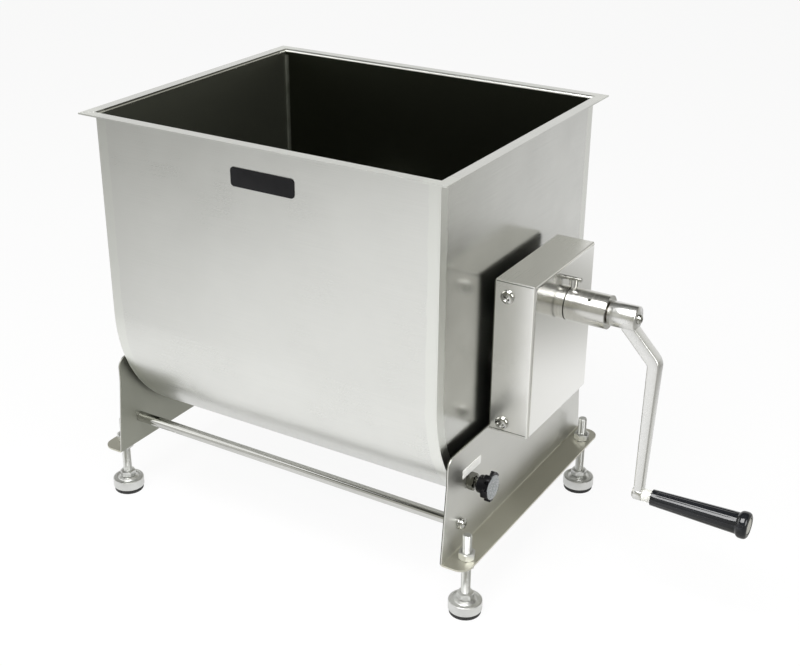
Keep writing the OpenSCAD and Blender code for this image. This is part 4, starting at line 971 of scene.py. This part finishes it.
hub = skinned("hub", turned([
    (0, 0.0081), (0, 0.0122), (0.0003, 0.0127), (0.0009, 0.013), (0.0284, 0.013), (0.029, 0.0127),
    (0.0293, 0.0122), (0.0293, 0.0046), (0.0245, 0.0046), (0.0245, 0.0081),
], 64), arm_plate, Matrix.Translation((tank_mid + hub_x, 0, crank_z)) @ lay_x, loop=True)
crank = joined("forged_arm", [arm, boss, hub], arm_plate)
fit(crank, "crank", "polished_steel", "crank_arm")

low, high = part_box("crank_screw")
hub_head_h = 0.004
screw = pan_screw(
    "hub_screw", head_d=0.010, head_h=hub_head_h, shank_d=0.008, shank_l=0.012, finish=screw_polish)
screws = fasteners("hub_pan_screw", screw, [((high.x - hub_head_h, 0, crank_z), (1, 0, 0))], screw_polish)
fit(screws, "crank", "polished_steel", "crank_screw")
eased_fit("grip_spindle", "headed_spindle", 0.0009, housing_polish, "crank", "polished_steel")
eased_fit("grip_collar", "nylon_collar", 0.0005, white_nylon, "crank", "white_nylon")


# Grip
# A grip of glossy black plastic, moulded with shallow flutes along it, widens towards a mushroom end. It
# turns freely on the spindle, whose polished head sits in a recess in the end.

# Flutes run along a tapering bar and fade out at both ends.
fluted_bar, given = shape_tree("fluted_bar", ["Length", "Near Radius", "Far Radius", "Flutes", "Depth"])
put, calc = partial(node_in, fluted_bar), partial(sum_in, fluted_bar)
bar = put("GeometryNodeMeshCylinder", {
    "Vertices": 192, "Side Segments": 40, "Radius": 1.0, "Depth": given["Length"],
}).outputs["Mesh"]
part = split(fluted_bar, put("GeometryNodeInputPosition").outputs[0])
share = calc("ADD", calc("DIVIDE", part["Z"], given["Length"]), 0.5)
bare_r = spread(fluted_bar, share, 0.0, 1.0, given["Near Radius"], given["Far Radius"])
from_end = calc("MINIMUM", share, calc("SUBTRACT", 1.0, share))
fade = spread(fluted_bar, from_end, 0.015, 0.07, interpolation_type="SMOOTHSTEP")
angle = calc("MULTIPLY", calc("ARCTAN2", part["Y"], part["X"]), given["Flutes"])
wave = calc("MULTIPLY_ADD", calc("COSINE", angle), 0.5, 0.5)
flute = calc("MULTIPLY", calc("MULTIPLY", wave, fade), given["Depth"])
radius = calc("SUBTRACT", bare_r, flute)
moved = put("ShaderNodeCombineXYZ", {
    "X": calc("MULTIPLY", part["X"], radius), "Y": calc("MULTIPLY", part["Y"], radius),
    "Z": calc("MULTIPLY", share, given["Length"]),
}).outputs[0]
bar = put("GeometryNodeSetPosition", {"Geometry": bar, "Position": moved}).outputs[0]
end_tree(fluted_bar, bar, given["Finish"])

black_gloss = moulded("black_gloss", (0.009, 0.01, 0.013), (0.006, 0.0065, 0.0085), 0.1, 0.17, 500, 0.02)
low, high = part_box("grip")
grip_at = Matrix.Translation((low.x, (low.y + high.y) / 2, (low.z + high.z) / 2)) @ lay_x
body_l = 0.091
bar = grown("bar", fluted_bar, {
    "Length": body_l, "Near Radius": 0.0085, "Far Radius": 0.01125, "Flutes": 16.0, "Depth": 0.0003,
    "Finish": black_gloss,
})
bar.data.transform(grip_at)
end = skinned("mushroom", turned([(body_l + h, r) for h, r in (
    (-0.004, 0.0041), (-0.004, 0.009), (-0.0012, 0.0111), (-0.0004, 0.0115), (0.0003, 0.0123),
    (0.0012, 0.0132), (0.0026, 0.0138), (0.0042, 0.014), (0.0066, 0.014), (0.0085, 0.0137), (0.01, 0.0128),
    (0.0108, 0.0115), (0.011, 0.01), (0.0109, 0.0089), (0.0104, 0.00855), (0.0082, 0.00855), (0.0082, 0.0041),
)], 96), black_gloss, grip_at, loop=True, crease=40)
grip = joined("fluted_grip", [bar, end], black_gloss, crease=40)
fit(grip, "grip", "black_gloss", "grip")


# Tank lock
# A clamp screw through the right plate bears on the tank's end and holds it upright or tipped. A nut welded
# to the plate takes its thread. The knob is black plastic with five lobes and a grey cap, by a blank label.
# Stud and nut are painted dark, a painted reflection of the dark surroundings.
lock_zinc = moulded(
    "lock_zinc", (0.2, 0.2, 0.18), (0.12, 0.12, 0.105), 0.1, 0.16, 700, 0.02, metallic=1.0)
low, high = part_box("lock_stud")
lock_y, lock_z = (low.y + high.y) / 2, (low.z + high.z) / 2
lock_r = (high.y - low.y) / 2


def laid(x):
    """A place on the lock's axis, with z pointing outwards along it."""
    return Matrix.Translation((x, lock_y, lock_z)) @ lay_x


stud = threaded_bar("lock_screw_thread", high.x - low.x, lock_r, pitch, lock_zinc, chamfer=0.0005)
stud.data.transform(laid(low.x))
fit(stud, "lock_screw", "zinc_plate", "lock_stud")
low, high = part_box("lock_nut")
nut_rings = hexagon_rings(nut_across, high.x - low.x, nut_bore)
nut = skinned("welded_lock_nut", nut_rings, lock_zinc, laid(low.x), loop=True)
fit(nut, "frame", "zinc_plate", "lock_nut")
dress(white_nylon, "lock_tip")

low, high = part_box("lock_knob")
knob_l, neck_l, core_r = high.x - low.x, 0.0085, 0.0095
lobes, lobe_r, lobe_w, first_lobe = 5, 0.0155, 0.0075, 45
knob_black = moulded(
    "knob_black", (0.007, 0.007, 0.008), (0.004, 0.004, 0.005), 0.14, 0.2, 500, 0.02, shine=0.12)
knob_at = laid(low.x)


def lobed(level, inset, corner=0.0009):
    """A ring of the knob's outline, drawn in by inset: flat ended lobes round a core."""
    core, half, tip = core_r - inset, lobe_w / 2 - inset, lobe_r - inset
    root, gap = math.asin(half / core), math.pi / lobes
    edge = [(core * math.cos(a), core * math.sin(a)) for a in [gap + (root - gap) * k / 4 for k in range(5)]]
    edge += [(core + (tip - core) * k / 3, half) for k in (1, 2)]
    for k in range(5):
        a = math.radians(90 - 22.5 * k)
        edge.append((tip - corner + corner * math.cos(a), half - corner + corner * math.sin(a)))
    outline = edge + [(u, -v) for u, v in reversed(edge[1:])]
    points = []
    for i in range(lobes):
        turn = math.radians(first_lobe) - math.tau * i / lobes
        c, s = math.cos(turn), math.sin(turn)
        points += [(-(u * s + v * c), u * c - v * s, level) for u, v in outline]
    return points


neck = skinned("neck", turned([
    (0, 0), (0, core_r - 0.0014), (0.0003, core_r - 0.0007), (0.0008, core_r - 0.0002), (0.0015, core_r),
    (neck_l + 0.0004, core_r), (neck_l + 0.0004, 0),
], 64), knob_black, knob_at)
levels = (
    (neck_l, 0.0007), (neck_l + 0.0002, 0.0002), (neck_l + 0.0007, 0), (knob_l - 0.0007, 0),
    (knob_l - 0.0002, 0.0002), (knob_l, 0.0007),
)
rings = [[(0, 0, neck_l)]] + [lobed(level, inset) for level, inset in levels] + [[(0, 0, knob_l)]]
head = skinned("head", rings, knob_black, knob_at)
knob = joined("lobed_knob", [neck, head], knob_black)
fit(knob, "lock_screw", "black_gloss", "lock_knob")
low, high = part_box("lock_knob_cap")
cap_r = (high.y - low.y) / 2
grey_cap = moulded("grey_cap", (0.24, 0.253, 0.262), (0.2, 0.213, 0.222), 0.2, 0.32, 900, 0.04)
cap = skinned("knob_cap", turned([
    (-0.0004, 0), (-0.0004, cap_r - 0.0002), (0.0002, cap_r), (0.0005, cap_r - 0.0002),
    (0.0007, cap_r - 0.001), (0.0008, cap_r * 0.6), (0.0008, 0),
], 64), grey_cap, laid(low.x))
fit(cap, "lock_screw", "grey_cap", "lock_knob_cap")
white_label = moulded("white_label", (0.84, 0.84, 0.83), (0.78, 0.78, 0.76), 0.4, 0.55, 2000, 0.04)
dress(white_label, "lock_label")
